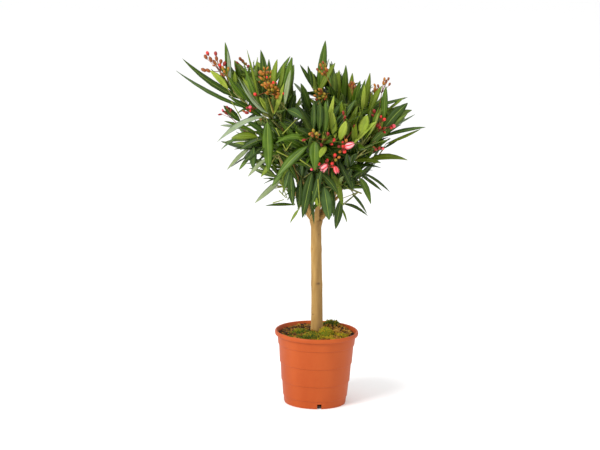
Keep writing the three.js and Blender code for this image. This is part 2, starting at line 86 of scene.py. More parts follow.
def add_object(name, data):
    """A new object of some data, linked into the scene."""
    made = bpy.data.objects.new(name, data)
    bpy.context.scene.collection.objects.link(made)
    return made


eye = bpy.data.cameras.new("camera")
eye.lens = LENS
eye.sensor_width = FILM_WIDTH
camera = add_object("camera", eye)
tilt = Matrix.Rotation(np.radians(90 - VIEW_ELEVATION), 4, "X")
roll = Matrix.Rotation(np.radians(VIEW_ROLL), 4, "Z")
back = tilt @ Matrix.Translation((0, 0, VIEW_DISTANCE))
camera.matrix_world = Matrix.Translation(VIEW_CENTRE) @ back @ roll
bpy.context.scene.camera = camera
print("camera at", tuple(round(value, 3) for value in camera.matrix_world.translation))

# %% [markdown]
# ## Finishes
# A material here starts from one plain colour and a roughness. Most then get a second tone from a soft
# noise and a little bump from a finer one, both laid out in the object's own millimetres, so that the grain
# has its real size and stays put when the plant is turned.

# %% Helpers for materials
def fed(node, **inputs):
    """A node with its inputs set by their names: each is linked to a socket or given a value."""
    for name, value in inputs.items():
        socket = node.inputs[name.replace("_", " ")]
        if isinstance(value, bpy.types.NodeSocket):
            node.id_data.links.new(value, socket)
        else:
            socket.default_value = value
    return node


def node_of(material, kind, **inputs):
    """A new node of a material, with its inputs set."""
    return fed(material.node_tree.nodes.new("ShaderNode" + kind), **inputs)


def shader_of(material):
    """The shader that every finish ends in."""
    return material.node_tree.nodes["Principled BSDF"]


def plain_finish(name, colour, roughness, gloss=0.5):
    """A material with one colour, one roughness and one strength of its gloss."""
    material = bpy.data.materials.new(name)
    material.use_nodes = True
    fed(shader_of(material), Base_Color=(*colour, 1), Roughness=roughness, Specular_IOR_Level=gloss)
    return material


def plain_finishes(colours, roughness, gloss):
    """A plain finish for each name and colour."""
    return [plain_finish(name, colour, roughness, gloss) for name, colour in colours.items()]


def laid_out(material, source, stretch):
    """Where a pattern falls: by the object's own millimetres or by its map, drawn out by stretch."""
    place = node_of(material, "TexCoord").outputs[source]
    return node_of(material, "Mapping", Vector=place, Scale=stretch).outputs["Vector"]


def grain(material, scale, stretch=(1, 1, 1), detail=4):
    """A noise whose features are about 1 / scale metres across, drawn out by stretch."""
    place = laid_out(material, "Object", stretch)
    return node_of(material, "TexNoise", Vector=place, Scale=scale, Detail=detail).outputs["Fac"]


def tones(material, factor, *stops):
    """The base colour goes from one (place, colour) stop to the next as the factor goes from 0 to 1."""
    ramp = node_of(material, "ValToRGB", Fac=factor)
    for element, (place, colour) in zip(ramp.color_ramp.elements, stops):
        element.position = place
        element.color = (*colour, 1)
    fed(shader_of(material), Base_Color=ramp.outputs["Color"])
    return ramp.outputs["Color"]


def relief(material, height, depth, strength=1.0):
    """A bump of a real depth in metres, without moving the mesh."""
    bump = node_of(material, "Bump", Height=height, Distance=depth, Strength=strength)
    fed(shader_of(material), Normal=bump.outputs["Normal"])


print("helpers ready")

# %% [markdown]
# ## Light and floor
# The pale studio could be a closed white room, but a white sky with two large soft lamps gives the same
# light sooner. The larger lamp stands to the left, which leaves the right side of the pot and the stem in a
# light shade. The floor is a plain near-white sheet.

# %% Light and floor
LAMPS = {"key_lamp": ((-2.2, -2.4, 2.6), 1.5, 125), "fill_lamp": ((2.6, -2.6, 1.2), 2.0, 4)}
SKY_STRENGTH = 1.04
PAPER = 0.95
FLOOR_REACH = 20

for name, (place, size, power) in LAMPS.items():
    lamp = bpy.data.lights.new(name, "AREA")
    lamp.size = size
    lamp.energy = power
    body = add_object(name, lamp)
    body.location = place
    body.rotation_euler = (Vector(VIEW_CENTRE) - Vector(place)).to_track_quat("-Z", "Y").to_euler()

sky = bpy.data.worlds.new("studio")
sky.use_nodes = True
fed(sky.node_tree.nodes["Background"], Color=(1, 1, 1, 1), Strength=SKY_STRENGTH)
bpy.context.scene.world = sky
bpy.context.scene.view_settings.view_transform = "Standard"

sheet = bpy.data.meshes.new("floor")
floor_corners = [(-1, -1, 0), (1, -1, 0), (1, 1, 0), (-1, 1, 0)]
sheet.from_pydata([Vector(corner) * FLOOR_REACH for corner in floor_corners], [], [(0, 1, 2, 3)])
sheet.materials.append(plain_finish("paper", (PAPER, PAPER, PAPER), 0.9))
floor = add_object("floor", sheet)
print("lamps and floor made")

# %% [markdown]
# ## From arrays to pieces
# Nearly everything here is a tube of rings that closes in a point at both ends: a pot, a stem, a bough, a
# twig, a leaf, a bud and a chip of bark. Such a shape could be lofted by hand or swept along a curve
# object. Here its points are worked out as one array and its faces as another, so that a thousand leaves
# cost no more lines than one.

# %% Faces of a closed tube
def tube_faces(rings, sides):
    """Faces over the points [first end, ring after ring, last end].

    Quad k of ring i joins its points k and k + 1 to the same two of ring i + 1. A fan of triangles joins
    each end ring to its end point. Rings run anticlockwise round the way forward, so faces look outwards.
    """
    here = np.arange(sides)
    after = (here + 1) % sides
    start = 1 + sides * np.arange(rings - 1)[:, None]
    quads = np.stack([start + here, start + after, start + sides + after, start + sides + here], axis=-1)
    last = 1 + sides * (rings - 1)
    foot_fan = np.stack([np.zeros(sides, int), 1 + after, 1 + here], axis=-1)
    tip_fan = np.stack([np.full(sides, last + sides), last + here, last + after], axis=-1)
    return quads.reshape(-1, 4), np.concatenate([foot_fan, tip_fan])


def closed_tube(rings):
    """The points of one tube or of many: rings of points, and the middle of each end ring as its end."""
    flat = rings.reshape(*rings.shape[:-3], -1, 3)
    foot = rings[..., :1, :, :].mean(axis=-2)
    tip = rings[..., -1:, :, :].mean(axis=-2)
    return np.concatenate([foot, flat, tip], axis=-2)


quads, fans = tube_faces(3, 6)
print("a tube of 3 rings of 6 has", len(quads), "quads and", len(fans), "triangles")

# %% Directions and turns
def unit(vectors):
    """Each vector at length 1."""
    return vectors / np.linalg.norm(vectors, axis=-1, keepdims=True)


def swung(first, second, angle):
    """The direction at an angle from first towards second: first cos(angle) + second sin(angle)."""
    return first * np.cos(angle) + second * np.sin(angle)


def even_turns(count):
    """The angles of a full turn in equal steps."""
    return 2 * np.pi * np.arange(count) / count


def spot_at(angle, out):
    """A place across and along: the distance out, times the cosine and the sine of the angle."""
    return np.stack(np.broadcast_arrays(out * np.cos(angle), out * np.sin(angle)), axis=-1)


def spun(points, angle, axes=(0, 1)):
    """Points turned in the plane of two axes, all by one angle or each row by its own."""
    first, second = axes
    cos, sin = np.cos(angle)[..., None], np.sin(angle)[..., None]
    out = points.copy()
    out[..., first] = cos * points[..., first] - sin * points[..., second]
    out[..., second] = sin * points[..., first] + cos * points[..., second]
    return out


def eased(share):
    """An even rise from 0 to 1 with a level start and end: 3 s^2 - 2 s^3."""
    share = np.clip(share, 0, 1)
    return share * share * (3 - 2 * share)


print("quarter turns:", spot_at(even_turns(4), 1).round().tolist())

# %% A piece from points
def new_piece(name, points, sides, materials, kinds=None, uv=None):
    """An object of closed tubes that rides on the plant, with one row of points for each tube.

    kinds says which material each tube has, or each face of each tube, its quads before its fans.
    """
    shapes = points.reshape(-1, points.shape[-2], 3)
    count, size = shapes.shape[:2]
    quads, fans = tube_faces((size - 2) // sides, sides)
    shift = size * np.arange(count)[:, None, None]
    every_quad = (quads + shift).reshape(-1, 4)
    every_fan = (fans + shift).reshape(-1, 3)
    mesh = bpy.data.meshes.new(name)
    mesh.from_pydata(shapes.reshape(-1, 3) * MM, [], every_quad.tolist() + every_fan.tolist())
    for material in materials:
        mesh.materials.append(material)
    if kinds is not None:
        kinds = np.reshape(kinds, (count, -1)) + np.zeros(len(quads) + len(fans), np.int32)
        parts = np.split(kinds.astype(np.int32), [len(quads)], axis=1)
        mesh.polygons.foreach_set("material_index", np.concatenate([part.ravel() for part in parts]))
    mesh.polygons.foreach_set("use_smooth", np.ones(len(mesh.polygons), bool))
    if uv is not None:
        corners = np.empty(len(mesh.loops), np.int32)
        mesh.loops.foreach_get("vertex_index", corners)
        layer = mesh.uv_layers.new(name="UVMap")
        layer.data.foreach_set("uv", np.asarray(uv, np.float32).reshape(-1, 2)[corners].ravel())
    mesh.update()
    piece = add_object(name, mesh)
    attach(piece, "root")
    print(name, "has", count, "tubes and", 2 * len(every_quad) + len(every_fan), "triangles")
    return piece


# %% Smooth random relief
def ripples(places, scale, seed, waves=9):
    """Relief of about -1 to 1: the sum of sine waves whose directions and phases are drawn from a seed."""
    draw = np.random.default_rng(seed)
    heading = draw.normal(size=(waves, np.shape(places)[-1])) * 2 * np.pi / scale
    phase = draw.uniform(0, 2 * np.pi, waves)
    return np.sin(places @ heading.T + phase).sum(axis=-1) / np.sqrt(waves)


print("relief at the origin:", round(float(ripples(np.zeros(3), 5, 1)), 3))

# %% [markdown]
# ## Pot
# The real pot is blown or moulded from thin orange-brown plastic. Its wall has four shallow steps, where
# the mould grows by a fraction of a millimetre, and ends in a rolled rim. The skirt under the raised floor
# has drain notches. A pot like this could be turned by a Screw modifier. Here its half outline is a short
# list of corners, each corner is rounded by a small curve, and all of it is swung round the axis.

# %% Outline of the pot
POT_WALL = 2.2
POT_FLOOR = 11.5
RIM_TOP = 168
SOFT_CORNER = 0.7
POT_SIDES = 160


def rounded(corners, reach, steps=5):
    """Each corner but the two ends gives way to a quadratic curve from just before it to just after it."""
    corner = np.asarray(corners, float)
    middle = corner[1:-1]
    before = corner[:-2] - middle
    after = corner[2:] - middle
    before *= np.minimum(reach / np.linalg.norm(before, axis=1), 0.45)[:, None]
    after *= np.minimum(reach / np.linalg.norm(after, axis=1), 0.45)[:, None]
    t = np.linspace(0, 1, steps)[:, None, None]
    arcs = middle + (1 - t) ** 2 * before + t**2 * after
    return arcs.transpose(1, 0, 2).reshape(-1, 2)


underside = [(0, 0), (22.5, 0), (24, POT_FLOOR), (69.2, POT_FLOOR), (67.8, 0)]
wall = [(70, 0), (71.9, 17), (73.3, 17.6), (76.3, 52), (78.0, 52.6), (80.7, 94), (82.4, 94.6),
        (85.2, 136.3), (87.1, 136.9)]
rim = [(89.2, 157), (94.4, 158.5), (95, 161), (95, 165.5), (93.2, RIM_TOP), (90.6, 167.4), (87, 157)]
lining = [(84, 138), (72.6 - POT_WALL, POT_FLOOR + POT_WALL), (0, POT_FLOOR + POT_WALL)]
pot_outline = rounded(underside + wall + rim + lining, SOFT_CORNER)
print("the pot's outline has", len(pot_outline), "points")

# %% Turn the outline
def turned(outline, sides):
    """Ring i is a circle of the outline's radius i at its height i."""
    flat = spot_at(even_turns(sides), outline[:, 0, None])
    level = np.broadcast_to(outline[:, 1, None, None], (*flat.shape[:2], 1))
    return np.concatenate([flat, level], axis=-1)


plastic = plain_finish("terracotta_plastic", (0.39, 0.066, 0.009), 0.5, 0.2)
mottle = grain(plastic, 14, (1, 1, 0.35), 5)
tones(plastic, mottle, (0.3, (0.355, 0.056, 0.007)), (0.7, (0.43, 0.080, 0.013)))
relief(plastic, grain(plastic, 900, (1, 1, 0.3), 2), 0.0002, 0.5)
pot = new_piece("pot_shell", closed_tube(turned(pot_outline, POT_SIDES)), POT_SIDES, [plastic])

# %% [markdown]
# The notches and the drain holes go right through the wall, so they are cut by a Boolean modifier, and the
# result is kept as the pot's mesh. Edges that turn sharply are then marked, which keeps the notches crisp.

# %% Cut the notches and drains
NOTCH_TURNS = np.radians([8, 98, 188, 278])
DRAIN_TURNS = even_turns(4) + np.pi / 4
DRAIN_OUT = 46
PEG_SIDES = 24
SHARP_EDGE = 38


def notch_cutter(turn):
    """Corners of a block 20 mm deep and 10 mm wide that stands across the skirt at a turn."""
    side = np.array([-1, 1])
    corners = np.stack(np.meshgrid(70 + 10 * side, 5 * side, POT_FLOOR * side, indexing="ij"), axis=-1)
    return spun(corners.reshape(-1, 3), turn)


def drain_cutter(turn):
    """A round peg 5 mm in radius through the floor."""
    rings = turned(np.array([[5.0, POT_FLOOR - 4], [5.0, POT_FLOOR + 6]]), PEG_SIDES)
    return closed_tube(rings + [*spot_at(turn, DRAIN_OUT), 0])


box_quads = [(0, 1, 3, 2), (4, 6, 7, 5), (0, 4, 5, 1), (2, 3, 7, 6), (0, 2, 6, 4), (1, 5, 7, 3)]
blocks = [(notch_cutter(turn), [np.array(box_quads)]) for turn in NOTCH_TURNS]
blocks += [(drain_cutter(turn), tube_faces(2, PEG_SIDES)) for turn in DRAIN_TURNS]
cutter_points, cutter_faces = [], []
for points, groups in blocks:
    cutter_faces += [face for group in groups for face in (group + len(cutter_points)).tolist()]
    cutter_points += points.tolist()
cutters = bpy.data.meshes.new("cutters")
cutters.from_pydata(np.array(cutter_points) * MM, [], cutter_faces)
knife = add_object("knife", cutters)
cut = pot.modifiers.new("drainage", "BOOLEAN")
cut.operation = "DIFFERENCE"
cut.object = knife
cut_mesh = bpy.data.meshes.new_from_object(pot.evaluated_get(bpy.context.evaluated_depsgraph_get()))
pot.modifiers.clear()
pot.data = cut_mesh
bpy.data.objects.remove(knife)
cut_mesh.set_sharp_from_angle(angle=np.radians(SHARP_EDGE))
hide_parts("pot")
print("the cut pot has", len(cut_mesh.polygons), "faces")

# %% [markdown]
# ## Soil
# The pot is filled nearly to the rim with dark compost, a low mound round the stem that rises at the back
# right. The surface is a height worked out for each place on a grid of circles, closed underneath by a flat
# disc inside the pot.

# %% Soil surface
SOIL_RADIUS = 85.9
SOIL_SIDES = 150
SOIL_ROWS = 56
MOUND_TOP = 167
SOIL_EDGE = 160
STEM_SEAT = 167.7


def soil_height(x, y):
    """A mound that falls with the square of the distance, plus low waves and a rise at the back.

    It gives way to a level seat for the stem.
    """
    out = np.hypot(x, y)
    share = np.minimum(1, out / 84)
    waves = 1.6 * np.sin(x / 7 + 1) * np.cos(y / 9) + 1.1 * np.sin((x + 2 * y) / 11)
    rise = 6 * np.exp(-((x - 38) ** 2 + (y - 52) ** 2) / 700)
    uneven = (waves + rise) * np.minimum(1, 3 * (1 - share) + 0.35)
    level = MOUND_TOP + (SOIL_EDGE - MOUND_TOP) * share**2 + uneven
    return STEM_SEAT + (level - STEM_SEAT) * eased((out - 17) / 9)


def on_soil(spot, lift):
    """The places on the soil at some spots, raised by lift."""
    height = soil_height(spot[..., 0], spot[..., 1]) + lift
    return np.concatenate([spot, height[..., None]], axis=-1)


soil_outline = np.array([(share * SOIL_RADIUS, SOIL_EDGE) for share in np.linspace(1, 0.02, SOIL_ROWS)])
soil_outline = np.concatenate([[(40, 146), (80, 146), (84.6, 148)], soil_outline])
soil_rings = turned(soil_outline, SOIL_SIDES)
crumbs = 0.9 * ripples(soil_rings[..., :2], 6, 3) + 0.5 * ripples(soil_rings[..., :2], 2.6, 4)
inside = np.clip((SOIL_RADIUS - soil_outline[:, 0]) / 4, 0, 1)[:, None]
surface = soil_height(soil_rings[..., 0], soil_rings[..., 1]) + crumbs * inside
soil_rings[-SOIL_ROWS:, :, 2] = surface[-SOIL_ROWS:]

compost = plain_finish("compost", (0.05, 0.03, 0.017), 0.95, 0.12)
tones(compost, grain(compost, 300), (0.35, (0.010, 0.006, 0.003)), (0.7, (0.055, 0.028, 0.008)))
relief(compost, grain(compost, 700), 0.0012)
soil = new_piece("compost", closed_tube(soil_rings), SOIL_SIDES, [compost])
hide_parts("soil")

# %% [markdown]
# ## Bark chips
# The compost is dressed with chips of bark from dark brown to pale ochre. Each chip could be a bevelled
# block, but a real one is a torn flake. So a chip is a tube of two uneven rings of five, scaled and turned
# by seeded numbers and laid on the soil, and four plain colours are dealt out over the chips.

# %% Scatter the chips
CHIP_COUNT = 900
CHIP_SIDES = 5
CHIP_SEED = 11
CHIP_COLOURS = {
    "chip_dark": (0.04, 0.02, 0.01),
    "chip_umber": (0.125, 0.058, 0.012),
    "chip_ochre": (0.25, 0.115, 0.013),
    "chip_straw": (0.36, 0.195, 0.030),
}


def even_reach(draw, least, most, count):
    """Distances from the axis that spread evenly over a flat ring: the square is drawn evenly."""
    return np.sqrt(draw.uniform(least**2, most**2, count))


draw = np.random.default_rng(CHIP_SEED)
turn = even_turns(CHIP_SIDES)
flat_ring = np.stack([np.zeros(CHIP_SIDES), np.cos(turn), np.sin(turn)], axis=-1)
chip_rings = np.stack([flat_ring + [-0.6, 0, 0], flat_ring + [0.6, 0, 0]])
chips = np.repeat(closed_tube(chip_rings)[None], CHIP_COUNT, axis=0)
chips[:, 0, 0] = -1.0
chips[:, -1, 0] = 1.0
chips += draw.normal(0, 0.16, chips.shape)
chip_sizes = [draw.uniform(least, most, CHIP_COUNT) for least, most in ((2.4, 7), (1.6, 3.8), (0.8, 1.9))]
chips *= np.stack(chip_sizes, axis=-1)[:, None]
chips = spun(chips, draw.normal(0, 0.35, CHIP_COUNT), (0, 2))
chips = spun(chips, draw.normal(0, 0.35, CHIP_COUNT), (1, 2))
chips = spun(chips, draw.uniform(0, 2 * np.pi, CHIP_COUNT))
out = even_reach(draw, 17, 79, CHIP_COUNT)
spot = spot_at(draw.uniform(0, 2 * np.pi, CHIP_COUNT), out)
chips += on_soil(spot, draw.uniform(0, 2.4, CHIP_COUNT))[:, None]

chip_finishes = plain_finishes(CHIP_COLOURS, 0.85, 0.12)
for finish in chip_finishes:
    relief(finish, grain(finish, 500, (1, 1, 0.3)), 0.0006)
paler_to_the_right = draw.uniform(size=CHIP_COUNT) + 0.16 * spot[:, 0] / 80
dealt = np.searchsorted([0.26, 0.52, 0.82], paler_to_the_right)
dressing = new_piece("bark_chips", chips, CHIP_SIDES, chip_finishes, dealt)
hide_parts("soil")

# %% [markdown]
# ## Moss
# Green and yellow-green moss has settled round the foot of the stem. A cushion of moss is a dome whose skin
# is rough, and what makes it look like moss is the fuzz of tiny shoots over it. So each cushion is a lumpy
# dome with a few hundred three-sided spikes on it.

# %% Moss cushions
# Each row: the turn round the axis, the reach from it, the size across and the rise
CUSHIONS = {
    "moss_left": (210, 42, 18, 9),
    "moss_front": (258, 56, 21, 8),
    "moss_right": (304, 38, 18, 11),
    "moss_far_right": (328, 68, 14, 6),
    "moss_back": (58, 62, 20, 9),
}
MOSS_GREENS = {
    "moss_green": (0.105, 0.155, 0.008),
    "moss_yellow": (0.44, 0.30, 0.012),
    "moss_dark": (0.030, 0.048, 0.006),
}
GREEN, YELLOW, DARK = range(3)
DOME_ROWS, DOME_SIDES = 14, 44
TUFTS = 620
TUFT_SEED = 20
moss_finishes = plain_finishes(MOSS_GREENS, 0.9, 0.2)


def cushion_skin(turn, reach, size, rise, slope, around, seed):
    """A point of the dome: size cos(slope) outwards and rise sin(slope) up, times a soft relief."""
    width = size * np.cos(slope)
    skin = np.stack([width * np.cos(around), 0.8 * width * np.sin(around), rise * np.sin(slope)], axis=-1)
    skin *= 1 + 0.16 * ripples(skin, 13, seed)[..., None]
    bearing = np.radians(turn)
    return spun(skin, bearing) + on_soil(spot_at(bearing, reach), 0)


def spikes(foot, growth, girth, length):
    """Three-sided spikes: a small triangle round each foot, with its tip at length along the growth."""
    triangle = np.pad(spot_at(even_turns(3), girth), ((0, 0), (0, 1)))
    made = closed_tube((foot[:, None] + triangle)[:, None])
    made[:, 0] -= growth * 0.8
    made[:, -1] += growth * length[:, None]
    return made


slopes, turns = np.meshgrid(np.linspace(-0.35, 1.5, DOME_ROWS), even_turns(DOME_SIDES), indexing="ij")
for seed, (name, shape) in enumerate(CUSHIONS.items()):
    yellow = name in ("moss_right", "moss_far_right")
    dome = closed_tube(cushion_skin(*shape, slopes, turns, seed))
    skin = moss_finishes[GREEN if yellow else DARK]
    cushion = new_piece(name + "_cushion", dome, DOME_SIDES, [skin])
    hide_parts(name)

    draw = np.random.default_rng(TUFT_SEED + seed)
    slope = np.arcsin(draw.uniform(0.02, 1, TUFTS))
    foot = cushion_skin(*shape, slope, draw.uniform(0, 2 * np.pi, TUFTS), seed)
    growth = unit(foot - foot.mean(axis=0) * [1, 1, 0] - [0, 0, foot[:, 2].min() - 8])
    growth += draw.normal(0, 0.35, growth.shape)
    tufts = spikes(foot, growth, 0.8, draw.uniform(2.0, 4.2, TUFTS))
    usual = draw.uniform(size=TUFTS) < 0.72
    kind = np.where(usual == yellow, YELLOW, GREEN)
    tuft = new_piece(name + "_tufts", tufts, 3, moss_finishes, kind)
    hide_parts(name)

# %% [markdown]
# Between the cushions the moss lies as a thin ragged carpet over the front of the soil, in patches. The
# patches are the places where a soft relief is high, so most of the seeded places are thrown away again.

# %% Moss carpet
CARPET_TRIES = 9000
CARPET_SEED = 31
draw = np.random.default_rng(CARPET_SEED)
bearing = np.radians(draw.uniform(205, 335, CARPET_TRIES))
out = even_reach(draw, 20, 80, CARPET_TRIES)
spot = spot_at(bearing, out)
patch = ripples(spot, 34, 5) + 0.5 * ripples(spot, 12, 6)
near_rim = np.clip((out - 45) / 30, 0, 1) * np.clip(1 - np.abs(np.degrees(bearing) - 275) / 50, 0, 1)
spot = spot[patch + 1.3 * near_rim > 0.55]
foot = on_soil(spot, draw.uniform(0.6, 3.2, len(spot)))
growth = UP + draw.normal(0, 0.5, foot.shape)
carpet = spikes(foot, growth, 0.85, draw.uniform(1.6, 3.8, len(spot)))
yellow = spot[:, 0] + draw.normal(0, 16, len(spot)) > 8
kind = np.where(yellow, YELLOW, np.where(draw.uniform(size=len(spot)) < 0.3, DARK, GREEN))
moss_carpet = new_piece("moss_carpet", carpet, 3, moss_finishes, kind)
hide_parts("soil")

# %% [markdown]
# ## Curves for the wood
# The stem and every bough follow a cubic curve, from its first to its last point, pulled by two handles
# between them. A grower would see the same thing: a limb leaves its parent in one direction and ends in
# another, and bends evenly between the two.

# %% Points along a curve
def places_on(handles, shares):
    """Points and directions at shares of a cubic curve's length.

    A point at t is the mean of the four handles with the weights (1-t)^3, 3t(1-t)^2, 3t^2(1-t) and t^3. The
    running length over a fine row of such points, read backwards, gives the t of each share of the length.
    """
    t = np.linspace(0, 1, 401)[:, None]
    start, pull, push, end = (np.asarray(handle, float) for handle in handles)
    row = (1 - t) ** 3 * start + 3 * t * (1 - t) ** 2 * pull + 3 * t**2 * (1 - t) * push + t**3 * end
    steps = np.linalg.norm(np.diff(row, axis=0), axis=1)
    running = np.concatenate([[0], np.cumsum(steps)]) / steps.sum()
    point, heading = (
        np.stack([np.interp(shares, running, values[:, k]) for k in range(3)], axis=-1)
        for values in (row, np.gradient(row, axis=0))
    )
    return point, unit(heading)


def round_rings(points, headings, radius, sides):
    """Rings square to the way forward. radius has one value for each ring."""
    spread = points[..., -1, :] - points[..., 0, :]
    reference = np.eye(3)[np.abs(spread).reshape(-1, 3).sum(axis=0).argmin()]
    first = unit(np.cross(headings, reference))
    second = np.cross(headings, first)
    angle = even_turns(sides)[:, None]
    outward = swung(first[..., None, :], second[..., None, :], angle)
    return points[..., None, :] + outward * radius[..., None, None], outward


print("a straight curve's middle:", places_on([(0, 0, 0), (0, 0, 1), (0, 0, 2), (0, 0, 3)], [0.5])[0])

# %% [markdown]
# ## Bark
# Young oleander bark is smooth and beige-tan, with faint upright streaks, small pale lenticels, and here
# and there the scar of an old leaf or a dark nick. The streaks are a noise drawn out along the stem. The
# scars have a place, so they are raised in the mesh and darkened by an attribute. The same attribute also
# carries painted shade: a broad band darkened towards brown down the stem's front-right side.

# %% Bark finish
# The dark brown of the nicks and scars, which the painted shade down the stem also goes to
NICK_AND_SHADE_COLOUR = (0.09, 0.045, 0.02, 1)

bark = plain_finish("bark", (0.36, 0.22, 0.075), 0.72, 0.25)
streaks = grain(bark, 80, (1, 1, 0.22), 6)
plain_bark = tones(bark, streaks, (0.30, (0.250, 0.137, 0.032)), (0.70, (0.40, 0.240, 0.076)))
relief(bark, grain(bark, 420, (1, 1, 0.18), 4), 0.0005, 0.7)
nick_and_painted_shade = node_of(bark, "Attribute")
nick_and_painted_shade.attribute_name = "nick_and_painted_shade"
shade = node_of(bark, "Mix")
shade.data_type = "RGBA"
fed(shade, Factor=nick_and_painted_shade.outputs["Fac"], A=plain_bark, B=NICK_AND_SHADE_COLOUR)
fed(shader_of(bark), Base_Color=shade.outputs["Result"])


def set_nicks_and_shade(piece, values):
    """How dark each point of the wood is, from 0 to 1: its nicks and scars, and the painted shade."""
    layer = piece.data.attributes.new("nick_and_painted_shade", "FLOAT", "POINT")
    layer.data.foreach_set("value", np.asarray(values, np.float32).ravel())


print("bark made")

# %% [markdown]
# ## Stem
# The stem tapers gently from a small flare at the soil to a swollen head, where it was once cut back and
# all the boughs set out. Two rings of old leaf scars swell it slightly. Its surface is a radius for each
# height and turn: the taper, plus the swellings, plus the relief of the bark.

# %% Stem with its bark
FORK = np.array([-7.5, 0.0, 422.0])
STEM_LINE = [(0, 0, 168), (0, 0, 250), (-6, -2, 335), FORK]
STEM_ROWS, CAP_ROWS, STEM_SIDES = 180, 7, 72
FOOT_RADIUS, HEAD_RADIUS = 13.3, 11.6
# Each row: the height, the turn, the width and the depth of a nick or scar
STEM_NICKS = [(206, 226, 2.0, 1.0), (279, 284, 4.6, 0.62), (358, 222, 1.9, 1.0), (316, 60, 2.2, 0.7),
              (392, 300, 2.0, 0.5), (238, 130, 2.4, 0.6)]


def bump(value, place, width):
    """A rise to 1 at a place that dies away on both sides: e to the minus squared distance in widths."""
    return np.exp(-(((value - place) / width) ** 2))


def degrees_from(bearing, turn):
    """How far a bearing is from a turn, from -180 to 180 degrees."""
    return (bearing - turn + 180) % 360 - 180


def stem_radius(share):
    """An even taper, a flare that dies away in a twentieth of the length, two rings and a head."""
    taper = FOOT_RADIUS + (HEAD_RADIUS - FOOT_RADIUS) * share
    flare = 1.4 * np.exp(-share / 0.05)
    rings = 0.7 * bump(share, 0.74, 0.035) + 0.5 * bump(share, 0.42, 0.035)
    return taper + flare + rings + 3.4 * eased((share - 0.93) / 0.07)


share = np.linspace(0, 1, STEM_ROWS)
points, headings = places_on(STEM_LINE, share)
cap = np.linspace(0.15, 1.35, CAP_ROWS)
points = np.concatenate([points, points[-1] + 5 * UP * np.sin(cap)[:, None]])
headings = np.concatenate([headings, np.repeat(headings[-1:], CAP_ROWS, axis=0)])
radius = np.concatenate([stem_radius(share), stem_radius(1.0) * np.cos(cap)])
rings, outward = round_rings(points, headings, radius, STEM_SIDES)
bearing = np.degrees(np.arctan2(outward[..., 1], outward[..., 0]))
streak = 0.10 * ripples(rings * [1, 1, 0.3], 11, 31) + 0.05 * ripples(rings * [1, 1, 0.5], 2.6, 32)
speck = np.maximum(0, ripples(rings * [1, 1, 1.6], 4.2, 33) - 1.75)
# Painted shade: the stem's front-right side, round the turn of 294 degrees, away from the key lamp, is
# darkened towards brown
dark = 0.38 * bump(degrees_from(bearing, 294), 0, 29) * (1 + 0.25 * ripples(rings * [1, 1, 0.12], 16, 34))
raised = np.zeros(bearing.shape)
for height, turn, width, depth in STEM_NICKS:
    near = bump(degrees_from(bearing, turn), 0, 4.4 * width) * bump(rings[..., 2], height, 0.55 * width)
    dark += depth * near
    raised += 0.5 * near * np.sign(0.8 - depth)
rings += outward * (streak + 0.5 * speck + raised)[..., None]
stem = new_piece("stem_bark", closed_tube(rings), STEM_SIDES, [bark])
set_nicks_and_shade(stem, np.concatenate([[0], np.clip(dark, 0, 1).ravel(), [0]]))
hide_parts("trunk")

# %% [markdown]
# ## The crown's plan
# The crown is grown by the same rule as the solids under it. Each mass of leaves has a middle, a lean and a
# size. Its bough leaves the head of the stem or an older bough and ends in the mass, where a few shoots fan
# out. The plan could be drawn leaf by leaf, but then no bough would lead to them: a plant looks right when
# every leaf can be followed back to the root.

# %% Masses of the crown
def polar(turn, reach, height):
    """A point at a turn in degrees round the pot's axis, a reach from it and a height."""
    spin = np.radians(turn)
    return np.array([reach * np.cos(spin), reach * np.sin(spin), height])


def leaning(lean, turn):
    """The direction that leans from upright by lean, towards turn."""
    return polar(turn, np.sin(np.radians(lean)), np.cos(np.radians(lean)))


MASS_STEM = 24
SHOOT_LENGTH = 68


def mass(name, place, lean, parent=None, along=0.0, size=1.0, full=1.0):
    """One mass: what its shoots need to know, with its middle, axis and seat worked out.

    full is the share of its leaves that it keeps, because some outer masses are sparse.
    """
    middle, axis = polar(*place), leaning(lean, place[0])
    seat = middle - axis * size * (MASS_STEM + SHOOT_LENGTH / 2)
    return {"name": name, "turn": place[0], "lean": lean, "parent": parent, "along": along, "size": size,
            "full": full, "middle": middle, "axis": axis, "seat": seat}


